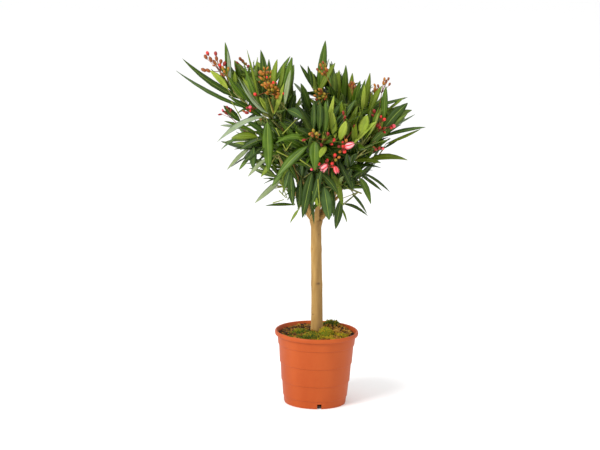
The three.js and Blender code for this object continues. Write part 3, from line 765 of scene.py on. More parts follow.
# Each row: the name, then the middle's turn, reach and height, and the lean. For a side bough its parent
# follows, and where it leaves it. The last two are the size and how full it is.
MASSES = [
    mass("left_high", (184, 176, 694), 42, full=0.62),
    mass("left_front", (222, 134, 676), 22),
    mass("centre_front", (271, 112, 600), 42),
    mass("right_far", (356, 104, 626), 38),
    mass("back_right", (50, 122, 622), 40),
    mass("back_left", (129, 136, 630), 42),
    mass("centre_high", (32, 28, 686), 5),
    mass("left_low", (180, 140, 588), 76, "left_high", 0.42, 0.6, 0.6),
    mass("left_foot", (190, 90, 502), 80, "left_high", 0.12, 0.6, 0.4),
    mass("left_low_front", (227, 116, 576), 70, "left_front", 0.36, 0.8),
    mass("left_back", (150, 118, 696), 16, "back_left", 0.55, full=0.75),
    mass("centre_low", (296, 82, 512), 78, "centre_front", 0.16, 0.6),
    mass("front_foot", (242, 82, 508), 80, "left_front", 0.14, 0.6, 0.6),
    mass("right_front", (315, 110, 602), 30, "right_far", 0.5),
    mass("right_high", (10, 70, 662), 12, "centre_high", 0.4, full=0.8),
    mass("right_side", (2, 108, 556), 66, "right_far", 0.24, 0.7, 0.6),
    mass("right_low", (344, 82, 508), 80, "right_far", 0.12, 0.6, 0.5),
    mass("back_centre", (84, 108, 690), 18, "back_right", 0.5, full=0.85),
    mass("back_low", (90, 112, 566), 64, "back_left", 0.3, 0.8),
    mass("back_low_left", (146, 88, 520), 76, "back_left", 0.12, 0.6, 0.45),
    mass("back_low_right", (34, 86, 516), 76, "back_right", 0.12, 0.6, 0.55),
]
print("masses:", len(MASSES))

# %% [markdown]
# ## Boughs
# A bough from the head sets out steeply and swings to the lean of its mass. A side bough leaves its parent
# at a wide angle. In the solids they stop just short of each other, so that each is a piece of its own. In
# the wood they grow out of one another, so here each begins inside its parent, with a slight collar, and
# runs on into the short stem of its mass.

# %% Curves of the boughs
STUB_LENGTH, STUB_FOOT, STUB_LEAN = 17, 6, 40
SOLID_GAP = 0.3
STUB_START = FORK - STUB_FOOT * UP
STUB_REACH = STUB_LENGTH + STUB_FOOT + SOLID_GAP
SIDE_OPENING = np.radians(58)


def bough_curve(one, curves):
    """Handles: the start, a pull in the first direction, a push against the mass's axis, and the seat."""
    seat, axis = one["seat"], one["axis"]
    if one["parent"] is None:
        first = leaning(min(STUB_LEAN, 1.5 * one["lean"]), one["turn"])
        start = STUB_START + first * STUB_REACH
    else:
        (start,), (heading,) = places_on(curves[one["parent"]], [one["along"]])
        outward = seat - start
        sideways = unit(outward - heading * np.dot(outward, heading))
        first = swung(heading, sideways, SIDE_OPENING)
    span = np.linalg.norm(seat - start)
    return [start, start + first * 0.34 * span, seat - axis * 0.3 * span, seat]


curves = {}
for one in MASSES:
    curves[one["name"]] = bough_curve(one, curves)
print("longest bough:", round(max(np.linalg.norm(c[3] - c[0]) for c in curves.values())), "mm")

# %% Wood of the boughs
BOUGH_ROWS, END_ROWS, BOUGH_SIDES = 46, 6, 16
HEAD_BOUGH, SIDE_BOUGH = 4.9, 3.3


def bough_rows(one):
    """Points, headings and radii from inside the parent, along the curve and through the mass's stem."""
    share = np.linspace(0, 1, BOUGH_ROWS)
    points, headings = places_on(curves[one["name"]], share)
    from_head = one["parent"] is None
    thick = HEAD_BOUGH if from_head else SIDE_BOUGH
    radius = thick * (1 - 0.32 * share)
    if from_head:
        radius += 0.35 * thick * np.exp(-share / 0.05)
        entry = np.linspace(0, 0.9, END_ROWS)[:, None]
        points = np.concatenate([STUB_START + entry * (points[0] - STUB_START), points])
        headings = np.concatenate([np.repeat(headings[:1], END_ROWS, axis=0), headings])
        radius = np.concatenate([np.linspace(1.5, 1.35, END_ROWS) * thick, radius])
    run = np.linspace(0.15, 1, END_ROWS)[:, None] * one["size"] * MASS_STEM
    points = np.concatenate([points, one["seat"] + one["axis"] * run])
    headings = np.concatenate([headings, np.repeat(one["axis"][None], END_ROWS, axis=0)])
    radius = np.concatenate([radius, 0.68 * thick * np.linspace(0.98, 0.7, END_ROWS)])
    return points, headings, radius


limb_points, limb_radii = [], []
for name, from_head in (("boughs_of_the_head", True), ("side_boughs", False)):
    group = [one for one in MASSES if (one["parent"] is None) == from_head]
    rows = [bough_rows(one) for one in group]
    rings, outward = (np.stack(part) for part in zip(*[round_rings(*row, BOUGH_SIDES) for row in rows]))
    knots = 0.35 * np.maximum(0, ripples(rings, 24, 41)) + 0.12 * ripples(rings * [1, 1, 0.3], 4, 42)
    wood = new_piece(name, closed_tube(rings + outward * knots[..., None]), BOUGH_SIDES, [bark])
    set_nicks_and_shade(wood, np.zeros(len(wood.data.vertices)))
    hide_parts(*["bough_" + one["name"] for one in group])
    limb_points += [row[0] for row in rows]
    limb_radii += [row[2] for row in rows]
limb_points, limb_radii = np.concatenate(limb_points), np.concatenate(limb_radii)

# %% [markdown]
# ## Shoots
# Each mass has three or four green-brown shoots that fan out by the golden angle and lean up towards the
# light. They start where the solids' shoots start. From each of them a finer twig branches off lower down,
# and short twigs on the boughs fill the shade inside the crown. The solids leave these out.

# %% Shoots by the seeded rule
SEED = 22
GOLDEN = 137.508


def seeded(seed):
    """Numbers from 0 to 1: each state is the last one times 1664525 plus 1013904223, in 32 bits."""
    state = seed
    while True:
        state = (state * 1664525 + 1013904223) % 2**32
        yield state / 2**32


def across(axis):
    """Two directions square to an axis and to each other."""
    reference = UP if abs(axis[2]) < 0.9 else np.array([1.0, 0.0, 0.0])
    first = unit(np.cross(axis, reference))
    return first, np.cross(axis, first)


def fanned(axis, turn, open_angle):
    """The direction open_angle away from an axis, at a turn round it, both in degrees."""
    return swung(axis, swung(*across(axis), np.radians(turn)), np.radians(open_angle))


def straight(start, way, length):
    """A shoot or a twig: where it starts, its direction and its length."""
    return {"start": start, "direction": unit(way), "length": length}


def point_on(stem, share):
    """The point at a share of the length of a shoot or a twig."""
    return stem["start"] + stem["direction"] * stem["length"] * share


def shoots_of(one, random):
    """The shoots of a mass, the leading one first."""
    count = 3 if one["size"] < 1 else 4
    made = []
    for i in range(count):
        turn = GOLDEN * i + 360 * next(random)
        way = fanned(one["axis"], turn, 44 * np.sqrt((i + 0.35) / count)) + 0.18 * UP
        rise = one["size"] * MASS_STEM * (0.94 + (0.5 - 0.94) * i / count)
        length = one["size"] * SHOOT_LENGTH * (0.85 + 0.35 * next(random))
        made.append(straight(one["seat"] + one["axis"] * rise, way, length))
    return made


for i, one in enumerate(MASSES):
    one["random"] = seeded(SEED + 1000 * i)
    one["shoots"] = shoots_of(one, one["random"])
print("shoots:", sum(len(one["shoots"]) for one in MASSES))

# %% Finer twigs
TWIG_AT = 0.34
INNER_SHARES = (0.45, 0.62, 0.8, 0.95)
INNER_LENGTH = 36


def side_twig(shoot, turn):
    """A twig that leaves its shoot a third of the way up, 40 degrees open, and is half as long."""
    way = fanned(shoot["direction"], turn, 40) + 0.12 * UP
    return straight(point_on(shoot, TWIG_AT), way, 0.5 * shoot["length"])


def inner_twig(one, share, turn):
    """A short twig that leaves a bough at a share of its length, 52 degrees open."""
    (start,), (heading,) = places_on(curves[one["name"]], [share])
    return straight(start, fanned(heading, turn, 52) + 0.15 * UP, INNER_LENGTH)


for one in MASSES:
    random = one["random"]
    one["twigs"] = [side_twig(shoot, 360 * next(random)) for shoot in one["shoots"]]
    one["inner_twigs"] = [
        inner_twig(one, share, GOLDEN * i + 360 * next(random)) for i, share in enumerate(INNER_SHARES)
    ]
print("side twigs:", sum(len(one["twigs"] + one["inner_twigs"]) for one in MASSES))

# %% [markdown]
# ## Where a leaf may grow
# In the solids a leaf that would leave the crown's space is tried again or left out. Here the same limits
# keep the outline: the bowl of the crown's underside, the cleft between its two lobes, the neighbouring
# masses, and the box of the mass's own solid. More limits keep it clean: the crown's line against the sky,
# as the picture shows it, the boughs, the leaves that are already there, and the view of those that stand
# out.

# %% Limits of the crown
CLEFT_AT = -59
CLEFT_FOOT = 685
BOWL_FOOT, BOWL_RISE, BOWL_REACH = 412, 190, 240
BOX_SLACK = 3
SKYLINE_SLACK = 6
PAST_NEIGHBOUR = 66
BOXES = {one["name"]: np.array(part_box("foliage_" + one["name"])) / MM for one in MASSES}
MIDDLES = np.array([one["middle"] for one in MASSES])
SEEN_RISE = np.tan(np.radians(VIEW_ELEVATION))
# The crown against the sky, from the left to the right: how far across, its top and its foot there
SKYLINE_ACROSS, SKYLINE_TOP, SKYLINE_FOOT = np.array([
    (-320, 770, 735), (-262, 742, 722), (-243, 762, 700), (-228, 800, 590), (-190, 772, 580),
    (-166, 772, 545), (-146, 792, 535), (-118, 768, 484), (-84, 772, 476), (-68, 786, 452),
    (-51, 738, 436), (-37, 766, 424), (-20, 758, 408), (-5, 808, 410), (9, 815, 422),
    (26, 776, 415), (44, 768, 440), (60, 750, 488), (75, 734, 505), (104, 750, 480),
    (121, 726, 548), (138, 738, 562), (156, 686, 620), (186, 690, 660), (235, 650, 640),
], float).T


def as_seen(points):
    """Across, and height as seen from the front: the height plus the depth times the slope of the view."""
    return np.stack([points[:, 0], points[:, 2] + SEEN_RISE * points[:, 1]], axis=-1)


def is_in_space(points, one, inner):
    """True where all points are inside the mass's limits.

    They stay in its box, within the crown's line against the sky, over the bowl, on its side of the cleft
    and not past its neighbours. A leaf on an inner twig of a bough may also stand between the masses.
    """
    low, high = BOXES[one["name"]]
    if not inner and ((points < low - BOX_SLACK).any() or (points > high + BOX_SLACK).any()):
        return False
    at, seen = as_seen(points).T
    over = seen - np.interp(at, SKYLINE_ACROSS, SKYLINE_TOP)
    under = np.interp(at, SKYLINE_ACROSS, SKYLINE_FOOT) - seen
    if max(over.max(), under.max()) > SKYLINE_SLACK:
        return False
    out = np.hypot(points[:, 0] - FORK[0], points[:, 1]) / BOWL_REACH
    if (points[:, 2] < BOWL_FOOT + BOWL_RISE * out**2.5).any():
        return False
    high_up = points[points[:, 2] > CLEFT_FOOT]
    if ((high_up[:, 0] - CLEFT_AT) * (one["middle"][0] - CLEFT_AT) < 0).any():
        return False
    away = MIDDLES - one["middle"]
    gap = np.linalg.norm(away, axis=1)
    others = gap > 0
    towards = (points - one["middle"]) @ unit(away[others]).T
    return inner or bool((towards < gap[others] / 2 + PAST_NEIGHBOUR).all())


def nearest(points, others):
    """For each point, the distance to the closest of the others, and which one that is."""
    apart = np.linalg.norm(points[:, None] - others[None], axis=-1)
    return apart.min(axis=1), apart.argmin(axis=1)


print("left_high's box in mm:", BOXES["left_high"].round().tolist())

# %% [markdown]
# ## Leaves
# An oleander leaf is narrow and leathery, widest in the middle, with a pale midrib on both faces. It opens
# wide at the foot of a shoot, stands steeply at its tip, and bends down by its own weight. Oleander sets
# its leaves in whorls of three. So a leaf is its root, its reach, the drop of its tip, and the side it
# turns to.

# %% One leaf's line
LEAF_LENGTH = 118
LEAF_SAG = 0.3
WIDEST = 21.0
WHORLS = 5
OUTER_LINE = np.array([0.25, 0.5, 0.75, 1.0])
INNER_LINE = np.array([0.25, 0.45, 0.65, 0.85])


def leaf_of(shoot, one, share, place, turn, random, scale=1.0):
    """The whorl's share of the shoot sets how far the leaf opens, its length and its sag.

    Its sag also takes the square of a random number, so that most leaves are nearly straight and a few bend
    a lot, and it is larger on the low masses, which lean far out.
    """
    axis = shoot["direction"]
    open_angle = 86 + (15 - 86) * share**0.8 + 26 * (next(random) - 0.5)
    way = fanned(axis, turn + 40 * (next(random) - 0.5), open_angle)
    way = unit(way + UP * (0.34 if one["lean"] < 60 else -0.12))
    side = unit(np.cross(axis, way))
    twist = np.radians(60 * (next(random) - 0.5))
    side = swung(side, np.cross(way, side), twist)
    middling = 1 - 1.1 * (share - 0.5) ** 2
    length = scale * LEAF_LENGTH * (1.6 + one["size"]) / 2.6 * middling * (0.74 + 0.42 * next(random))
    level = np.sqrt(max(0.0, 1 - way[2] ** 2))
    limp = LEAF_SAG * (2.2 if one["lean"] > 60 else 1.1)
    drop = length * limp * level * (1 - 0.5 * share) * (0.35 + 1.7 * next(random) ** 2)
    width = min(WIDEST, length / (4.7 + 1.6 * next(random)))
    root = point_on(shoot, 0.24 + 0.68 * share + 0.02 * place)
    return {"root": root, "reach": way * length, "drop": drop, "side": side, "width": width, "mass": one}


def leaf_line(leaf, t):
    """A point at t: the root, plus t of the reach, less the drop times t squared."""
    t = t[:, None]
    return leaf["root"] + t * leaf["reach"] - UP * leaf["drop"] * t**2


def trial_points(leaf):
    """The middle line from a quarter of the way out, and the two edges at its widest."""
    line = leaf_line(leaf, OUTER_LINE)
    edge = leaf["side"] * leaf["width"] / 2
    return np.concatenate([line, line[1:3] + edge, line[1:3] - edge])


print("leaves of a whorl: 3, whorls of a shoot:", WHORLS)

# %% [markdown]
# Some leaves stand out from the others: the furthest ones, which give the crown its outline, long ones that
# hang over its middle, young ones in a light yellow-green, and a few that turn their pale undersides to the
# front. The rule can't know of them, so each has a row of its own: where it is rooted, where it ends, how
# far it drops, how wide it is, its tint, and how far its upper face turns to the front. A short twig ties
# it to the nearest shoot.

# %% Leaves that stand out
FRONT = np.array([0.0, -1.0, 0.0])
# The leaves' tints. The first, a deep green, is partly the real green of old leaves and partly painted
# shade inside and low in the crown. The last is no leaf colour but a pale grey-green painted sheen.
DEEP_AND_SHADE, MID, OLIVE, COOL, YOUNG, PALE, PAINTED_SHEEN = range(7)
# For each mass, each leaf's root and tip, drop, width and tint, and how far it turns to the front
SHOWN_LEAVES = {
    "left_back": [
        (-126, 46, 718, -141, 66, 796, 4, 15, MID, 0.5), (-114, 69, 717, -75, 60, 786, 6, 15, MID, 0.5),
    ],
    "centre_high": [
        (-7, 22, 709, 3, 30, 827, 0, 20, MID, 2.0), (-18, 26, 715, -53, 26, 772, 0, 10, DEEP_AND_SHADE, 1.5),
        (-24, 16, 721, -35, 16, 771, 0, 10, DEEP_AND_SHADE, 2.0), (-33, 6, 699, -66, 6, 733, -10, 14, PAINTED_SHEEN, 1.0),
        (-28, 1, 673, -50, 1, 733, 0, 16, MID, 1.8), (-24, 30, 655, -49, 40, 708, 0, 20, DEEP_AND_SHADE, 1.5),
        (-9, 16, 712, 26, 16, 779, 0, 15, OLIVE, 2.0), (34, -5, 698, 35, -5, 766, 0, 14, OLIVE, 2.0),
    ],
    "left_high": [
        (-209, -14, 725, -220, -10, 822, 0, 14, MID, 2.0),
        (-167, 13, 690, -317, 33, 778, -60, 18, DEEP_AND_SHADE, 1.0),
        (-166, -24, 676, -329, -16, 757, -30, 17, COOL, 0.6),
        (-211, -38, 721, -251, -43, 762, 4, 15, YOUNG, 1.5),
        (-208, -24, 730, -214, -24, 806, 0, 9, PAINTED_SHEEN, 2.0),
        (-202, -23, 721, -204, -23, 759, 0, 9, MID, 2.0),
        (-191, -28, 718, -197, -28, 761, 0, 10, OLIVE, 2.0),
        (-170, -36, 697, -211, -41, 750, -6, 14, MID, 1.5),
    ],
    "left_front": [
        (-119, -129, 682, -186, -134, 760, -60, 8, PAINTED_SHEEN, 1.5),
        (-128, -124, 688, -175, -129, 751, -40, 8, PALE, 1.5),
        (-126, -109, 679, -176, -114, 793, -50, 11, MID, 1.8),
        (-141, -110, 708, -169, -104, 818, -16, 6, OLIVE, 1.5),
        (-134, -94, 717, -139, -94, 817, 0, 13, DEEP_AND_SHADE, 2.0),
        (-117, -60, 708, -121, -60, 793, 0, 13, COOL, 2.0),
        (-122, -88, 668, -192, -93, 746, -10, 16, DEEP_AND_SHADE, 1.2),
        (-129, -80, 664, -209, -85, 712, -12, 16, DEEP_AND_SHADE, 1.0),
        (-106, -124, 680, -86, -124, 748, 0, 11, YOUNG, 2.0),
        (-108, -113, 735, -102, -113, 799, 0, 13, OLIVE, 2.0),
        (-95, -108, 735, -87, -108, 792, 0, 9, OLIVE, 2.0),
        (-87, -118, 704, -71, -118, 805, 0, 19, MID, 2.0),
        (-83, -128, 703, -72, -128, 778, 0, 11, PALE, 1.5),
        (-76, -30, 652, -62, -24, 712, 0, 18, DEEP_AND_SHADE, 1.5),
        (-78, -112, 688, -43, -122, 670, 8, 25, COOL, 0.8),
        (-132, -134, 674, -229, -139, 617, 50, 17, PAINTED_SHEEN, 1.0),
        (-120, -139, 664, -115, -154, 556, 24, 25, MID, 1.6),
        (-124, -70, 627, -168, -80, 656, 6, 15, COOL, 1.2),
    ],
    "left_low_front": [
        (-82, -96, 550, -108, -101, 516, 6, 13, MID, 1.2),
        (-120, -76, 574, -162, -76, 531, 14, 11, PALE, 1.2),
        (-109, -86, 567, -133, -86, 533, 8, 13, OLIVE, 1.2),
    ],
    "front_foot": [
        (-69, -92, 552, -79, -97, 510, 6, 14, COOL, 1.4),
        (-20, -113, 552, -39, -118, 449, 20, 23, DEEP_AND_SHADE, 1.5),
        (-47, -90, 464, -66, -90, 432, 6, 7, OLIVE, 1.0),
        (-66, -98, 544, -60, -98, 472, 8, 18, DEEP_AND_SHADE, 1.6),
        (-44, -88, 534, -47, -88, 461, 8, 16, DEEP_AND_SHADE, 1.6),
        (-74, -84, 572, -81, -86, 505, 6, 18, OLIVE, 1.4),
        (-94, -110, 592, -51, -114, 529, 8, 16, DEEP_AND_SHADE, 1.3),
    ],
    "left_low": [
        (-133, -20, 588, -175, -25, 553, 10, 14, DEEP_AND_SHADE, 1.2),
        (-183, -13, 645, -221, -18, 681, 4, 16, DEEP_AND_SHADE, 1.5),
        (-170, -3, 625, -228, -3, 634, 8, 9, PAINTED_SHEEN, 0.8),
        (-156, -13, 618, -225, -18, 581, 34, 15, COOL, 1.0),
        (-125, -13, 609, -182, -18, 582, 16, 21, DEEP_AND_SHADE, 1.0),
        (-156, -2, 587, -211, -2, 533, 20, 11, PALE, 1.2), (-158, 3, 567, -202, 3, 539, 6, 9, DEEP_AND_SHADE, 0.3),
        (-157, -7, 569, -184, -7, 534, 8, 10, MID, 1.0),
        (-151, -22, 590, -152, -22, 540, 6, 17, COOL, 1.5),
        (-147, -30, 625, -219, -30, 648, 6, 10, MID, 0.8),
        (-142, -60, 618, -201, -64, 615, 16, 19, OLIVE, 0.9),
    ],
    "centre_front": [
        (-20, -122, 646, -20, -122, 710, 0, 15, DEEP_AND_SHADE, 2.0),
        (-7, -127, 647, -8, -127, 713, 0, 16, DEEP_AND_SHADE, 2.0), (6, -122, 643, 5, -122, 711, 0, 15, MID, 2.0),
        (-31, -142, 614, -97, -162, 547, 20, 23, MID, 1.2),
        (-29, -149, 626, -102, -164, 621, 44, 17, MID, 0.8),
        (-16, -169, 629, -15, -194, 568, 20, 26, MID, 1.5),
        (8, -158, 617, -5, -237, 604, 2, 15, YOUNG, 0.8),
    ],
    "right_high": [
        (50, 22, 695, 50, 22, 774, 0, 15, MID, 2.0), (61, 12, 692, 65, 12, 758, 0, 13, OLIVE, 2.0),
        (97, -2, 681, 104, -2, 761, 0, 14, OLIVE, 2.0), (79, -2, 690, 94, -2, 746, 0, 9, MID, 2.0),
        (88, -17, 674, 92, -17, 735, 0, 11, YOUNG, 2.0),
    ],
    "right_front": [
        (0, -98, 614, 24, -98, 721, 0, 14, YOUNG, 2.0), (29, -108, 628, 20, -108, 689, 0, 18, YOUNG, 2.0),
        (39, -128, 626, 51, -133, 670, 4, 19, YOUNG, 2.0),
        (85, -113, 637, 97, -118, 682, 4, 24, YOUNG, 2.0),
        (70, -113, 618, 118, -118, 668, 14, 14, YOUNG, 1.0),
    ],
    "right_far": [
        (138, -21, 655, 140, -21, 734, 0, 16, MID, 2.0),
        (106, -19, 679, 131, -19, 734, 0, 13, OLIVE, 2.0), (104, 1, 681, 190, 1, 707, 6, 10, COOL, 0.8),
        (140, -4, 673, 183, -4, 708, 0, 7, OLIVE, 1.0), (134, -31, 634, 189, -31, 699, 6, 24, DEEP_AND_SHADE, 2.0),
        (130, -25, 618, 232, -15, 643, 8, 11, COOL, 0.7),
    ],
    "right_side": [
        (144, -16, 603, 221, -11, 638, 0, 8, OLIVE, 1.0), (140, -16, 593, 177, -11, 616, 0, 7, DEEP_AND_SHADE, 1.0),
        (79, -34, 595, 142, -34, 642, 4, 11, OLIVE, 1.2),
        (105, -20, 566, 194, -20, 568, 28, 18, OLIVE, 1.2),
        (73, -24, 564, 134, -24, 561, 16, 13, OLIVE, 1.0),
        (65, -14, 549, 135, -14, 548, 20, 9, DEEP_AND_SHADE, 1.0),
    ],
    "right_low": [
        (88, -21, 532, 138, -21, 497, 10, 9, DEEP_AND_SHADE, 1.0), (94, -21, 537, 156, -21, 495, 8, 8, DEEP_AND_SHADE, 1.0),
        (86, -31, 527, 114, -31, 468, 22, 17, MID, 1.5), (68, -26, 530, 73, -26, 498, 4, 13, DEEP_AND_SHADE, 1.5),
        (51, -26, 466, 108, -26, 440, 22, 9, DEEP_AND_SHADE, 1.0), (71, -26, 489, 106, -26, 445, 20, 9, DEEP_AND_SHADE, 1.0),
        (46, -46, 481, 36, -46, 412, 6, 18, DEEP_AND_SHADE, 2.0), (47, -31, 460, 62, -31, 424, 6, 5, OLIVE, 1.5),
        (22, -80, 547, 50, -84, 472, 10, 17, OLIVE, 1.4),
    ],
    "centre_low": [
        (7, -128, 522, 20, -128, 448, 4, 27, COOL, 1.8),
        (-1, -123, 552, 38, -128, 507, 14, 18, DEEP_AND_SHADE, 1.2),
        (-5, -118, 477, -19, -118, 510, 0, 10, YOUNG, 1.5),
        (37, -70, 573, 70, -72, 507, 8, 14, DEEP_AND_SHADE, 1.2), (1, -136, 565, -19, -140, 481, 6, 15, DEEP_AND_SHADE, 1.4),
    ],
    "left_foot": [
        (-89, -32, 518, -146, -37, 465, 14, 15, PALE, 1.2),
        (-56, -46, 465, -123, -51, 462, 10, 10, DEEP_AND_SHADE, 0.8),
        (-83, -17, 554, -82, -17, 495, 6, 14, OLIVE, 1.5),
    ],
}
# Bare twigs that can be seen between the leaves, from one end to the other
SHOWN_TWIGS = [
    ((-180, -60, 660), (-202, -60, 697)), ((-86, -150, 641), (-58, -150, 672)),
    ((-101, -160, 654), (-93, -160, 637)), ((-85, -160, 620), (-78, -160, 606)),
    ((-120, -150, 718), (-109, -150, 686)), ((-91, -60, 523), (-74, -60, 483)),
    ((-92, -62, 499), (-76, -62, 483)), ((-105, -60, 471), (-81, -60, 479)),
    ((-7, -140, 539), (-1, -140, 477)), ((-98, -150, 602), (-69, -150, 588)),
    ((-47, -160, 586), (-21, -160, 569)), ((-78, -160, 606), (-66, -160, 625)),
]
by_name = {one["name"]: one for one in MASSES}


def shown_leaf(one, x, y, z, tip_x, tip_y, tip_z, drop, width, tint, turned_to_front):
    """A leaf between two named places. Its upper face looks up, and more or less to the front."""
    root = np.array([x, y, z], float)
    reach = [tip_x, tip_y, tip_z] - root + UP * drop
    side = unit(np.cross(UP + turned_to_front * FRONT, reach))
    return {"root": root, "reach": reach, "drop": drop, "side": side, "width": width, "mass": one,
            "tint": tint}


def nearest_shoot_point(one, place, share):
    """The point at a share of the length of the shoot that comes nearest to a place there."""
    points = np.array([point_on(shoot, share) for shoot in one["shoots"]])
    return points[np.linalg.norm(points - place, axis=1).argmin()]


def twig_between(start, end):
    """A straight twig from one place to another."""
    way = np.subtract(end, start).astype(float)
    return straight(np.asarray(start, float), way, np.linalg.norm(way))


leaves = [shown_leaf(by_name[name], *row) for name, rows in SHOWN_LEAVES.items() for row in rows]
leaf_twigs = [
    twig_between(nearest_shoot_point(leaf["mass"], leaf["root"], 0.8), leaf["root"]) for leaf in leaves
]
bare_twigs = [twig_between(*ends) for ends in SHOWN_TWIGS]
print("leaves that stand out:", len(leaves), "and bare twigs:", len(bare_twigs))

# %% [markdown]
# The others come whorl by whorl, the tips of all the shoots first, so that every mass gets its share. A
# leaf that fails a limit is drawn again up to five times. The tint goes by spray: all leaves of a shoot
# share one of four greens, with more of the dark ones low down, where they are in part painted shade under
# the crown. The oldest whorl and the leaves on the inner twigs are always the darkest green, partly the
# real darker green of old leaves and partly painted shade inside the crown, and about one shoot in three
# has one young yellow-green leaf at its tip.

# %% Grow the leaves
TRIES = 6
LEAF_GAP = 4
BOUGH_GAP = 3
KEPT_VIEW = np.linspace(0.1, 1, 7)
taken = [leaf_line(leaf, INNER_LINE) for leaf in leaves]
in_view = np.concatenate([leaf_line(leaf, KEPT_VIEW) for leaf in leaves])
in_view_reach = np.repeat([0.35 * leaf["width"] + 3 for leaf in leaves], len(KEPT_VIEW))


def hides_one(points):
    """True for a leaf that would stand in front of one that stands out, within a third of its width."""
    apart = np.linalg.norm(as_seen(points)[:, None] - as_seen(in_view), axis=-1)
    ahead = points[:, None, 1] < in_view[:, 1] - 2
    return bool(((apart < in_view_reach) & ahead).any())


def fits(leaf, inner):
    """True for a leaf in its space, off the wood, and with its middle line clear of the other leaves."""
    points = trial_points(leaf)
    if not is_in_space(points, leaf["mass"], inner) or hides_one(leaf_line(leaf, np.linspace(0.15, 1, 8))):
        return False
    far, which = nearest(points[:4], limb_points)
    if (far < limb_radii[which] + BOUGH_GAP).any():
        return False
    far, _ = nearest(leaf_line(leaf, INNER_LINE), np.concatenate(taken))
    return bool((far > LEAF_GAP).all())


def grow(shoot, one, share, places, first_turn, scale=1.0, inner=False):
    """A whorl of leaves: each is drawn again until it fits, and left out after the last try."""
    for place in range(places):
        if next(one["random"]) > one["full"]:
            continue
        for _ in range(TRIES):
            turn = 360 / places * place + first_turn
            leaf = leaf_of(shoot, one, share, place, turn, one["random"], scale)
            if fits(leaf, inner):
                young = share == 1 and place == 0 and shoot["tender"]
                # Leaves of the oldest whorl and of the inner twigs take the deep green: partly the darker
                # green of old leaves, partly painted shade inside the crown
                leaf["tint"] = YOUNG if young else DEEP_AND_SHADE if share < 0.2 or inner else shoot["tint"]
                leaves.append(leaf)
                taken.append(leaf_line(leaf, INNER_LINE))
                break


# Where a random number passes from deep green to mid, to olive and to cool green, high up and low down
# Low masses draw the deep green more often, partly as painted shade under the upper crown
HIGH_TINTS, LOW_TINTS = (0.16, 0.54, 0.90), (0.48, 0.76, 0.84)
LOW_MASS = 601
TENDER_SHARE = 0.3
for one in MASSES:
    for shoot in one["shoots"] + one["twigs"] + one["inner_twigs"]:
        limits = LOW_TINTS if one["middle"][2] < LOW_MASS else HIGH_TINTS
        shoot["tint"] = (DEEP_AND_SHADE, MID, OLIVE, COOL)[np.searchsorted(limits, next(one["random"]))]
        shoot["tender"] = next(one["random"]) < TENDER_SHARE
for whorl in reversed(range(WHORLS)):
    for one in MASSES:
        for shoot in one["shoots"]:
            grow(shoot, one, whorl / (WHORLS - 1), 3, 60 * whorl)
for one in MASSES:
    for twig in one["twigs"]:
        grow(twig, one, 1, 2, 0, 0.85)
outer_count = len(leaves)
for one in MASSES:
    for twig in one["inner_twigs"]:
        grow(twig, one, 0.9, 3, 0, 0.85, inner=True)
        grow(twig, one, 0.4, 2, 90, 0.85, inner=True)
print("leaves:", len(leaves), "of which", len(leaves) - outer_count, "on inner twigs")

# %% [markdown]
# The wood of the shoots and twigs is still green at the tips. It is made now that all the leaves that hang
# from a twig of their own are known.

# %% Wood of the shoots and twigs
TWIG_ROWS, TWIG_SIDES = 6, 7
shoots = [shoot for one in MASSES for shoot in one["shoots"]]
finer = [twig for one in MASSES for twig in one["twigs"] + one["inner_twigs"]]
# Each row: some stems, with their radius at the foot and at the tip
STEM_SIZES = [(shoots, 2.5, 1.7), (finer, 1.5, 1.1), (leaf_twigs, 1.1, 0.8), (bare_twigs, 1.4, 0.9)]
share = np.linspace(-0.03, 1, TWIG_ROWS)
twig_rings = np.stack([
    round_rings(
        stem["start"] + stem["direction"] * (share * stem["length"])[:, None],
        np.repeat(stem["direction"][None], TWIG_ROWS, axis=0), foot + (tip - foot) * share, TWIG_SIDES,
    )[0]
    for stems, foot, tip in STEM_SIZES for stem in stems
])
young_wood = plain_finish("young_wood", (0.20, 0.21, 0.04), 0.6)
tones(young_wood, grain(young_wood, 60), (0.35, (0.15, 0.17, 0.022)), (0.7, (0.30, 0.28, 0.07)))
tender_wood = plain_finish("tender_wood", (0.20, 0.23, 0.028), 0.5, 0.2)
is_bare = np.arange(len(twig_rings)) >= len(twig_rings) - len(bare_twigs)
wood_finishes = [young_wood, tender_wood]
twigs = new_piece("twigs", closed_tube(twig_rings), TWIG_SIDES, wood_finishes, is_bare)

# %% [markdown]
# ## The shape of a leaf
# A leaf could be a flat card with a picture of a leaf on it. A card looks thin from the side and needs that
# picture, so each leaf is a mesh in its own outline instead, of 72 faces: a shallow V along the midrib, a
# slight swell on each half, a keel under the midrib, and a real thickness.

# %% Points of every leaf
ROWS = np.array([0.0, 0.07, 0.19, 0.36, 0.55, 0.73, 0.88, 0.975])
# Across the blade: how far out each point is, whether it is on top (1), under (-1) or at the edge (0), and
# whether it is on the keel
COLUMNS = np.array([1, 0.5, 0.05, -0.05, -0.5, -1, -0.05, 0.05])
FACE = np.array([0, 1, 1, 1, 1, 0, -1, -1])
KEEL = np.array([0, 0, 0, 0, 0, 0, 1, 1])


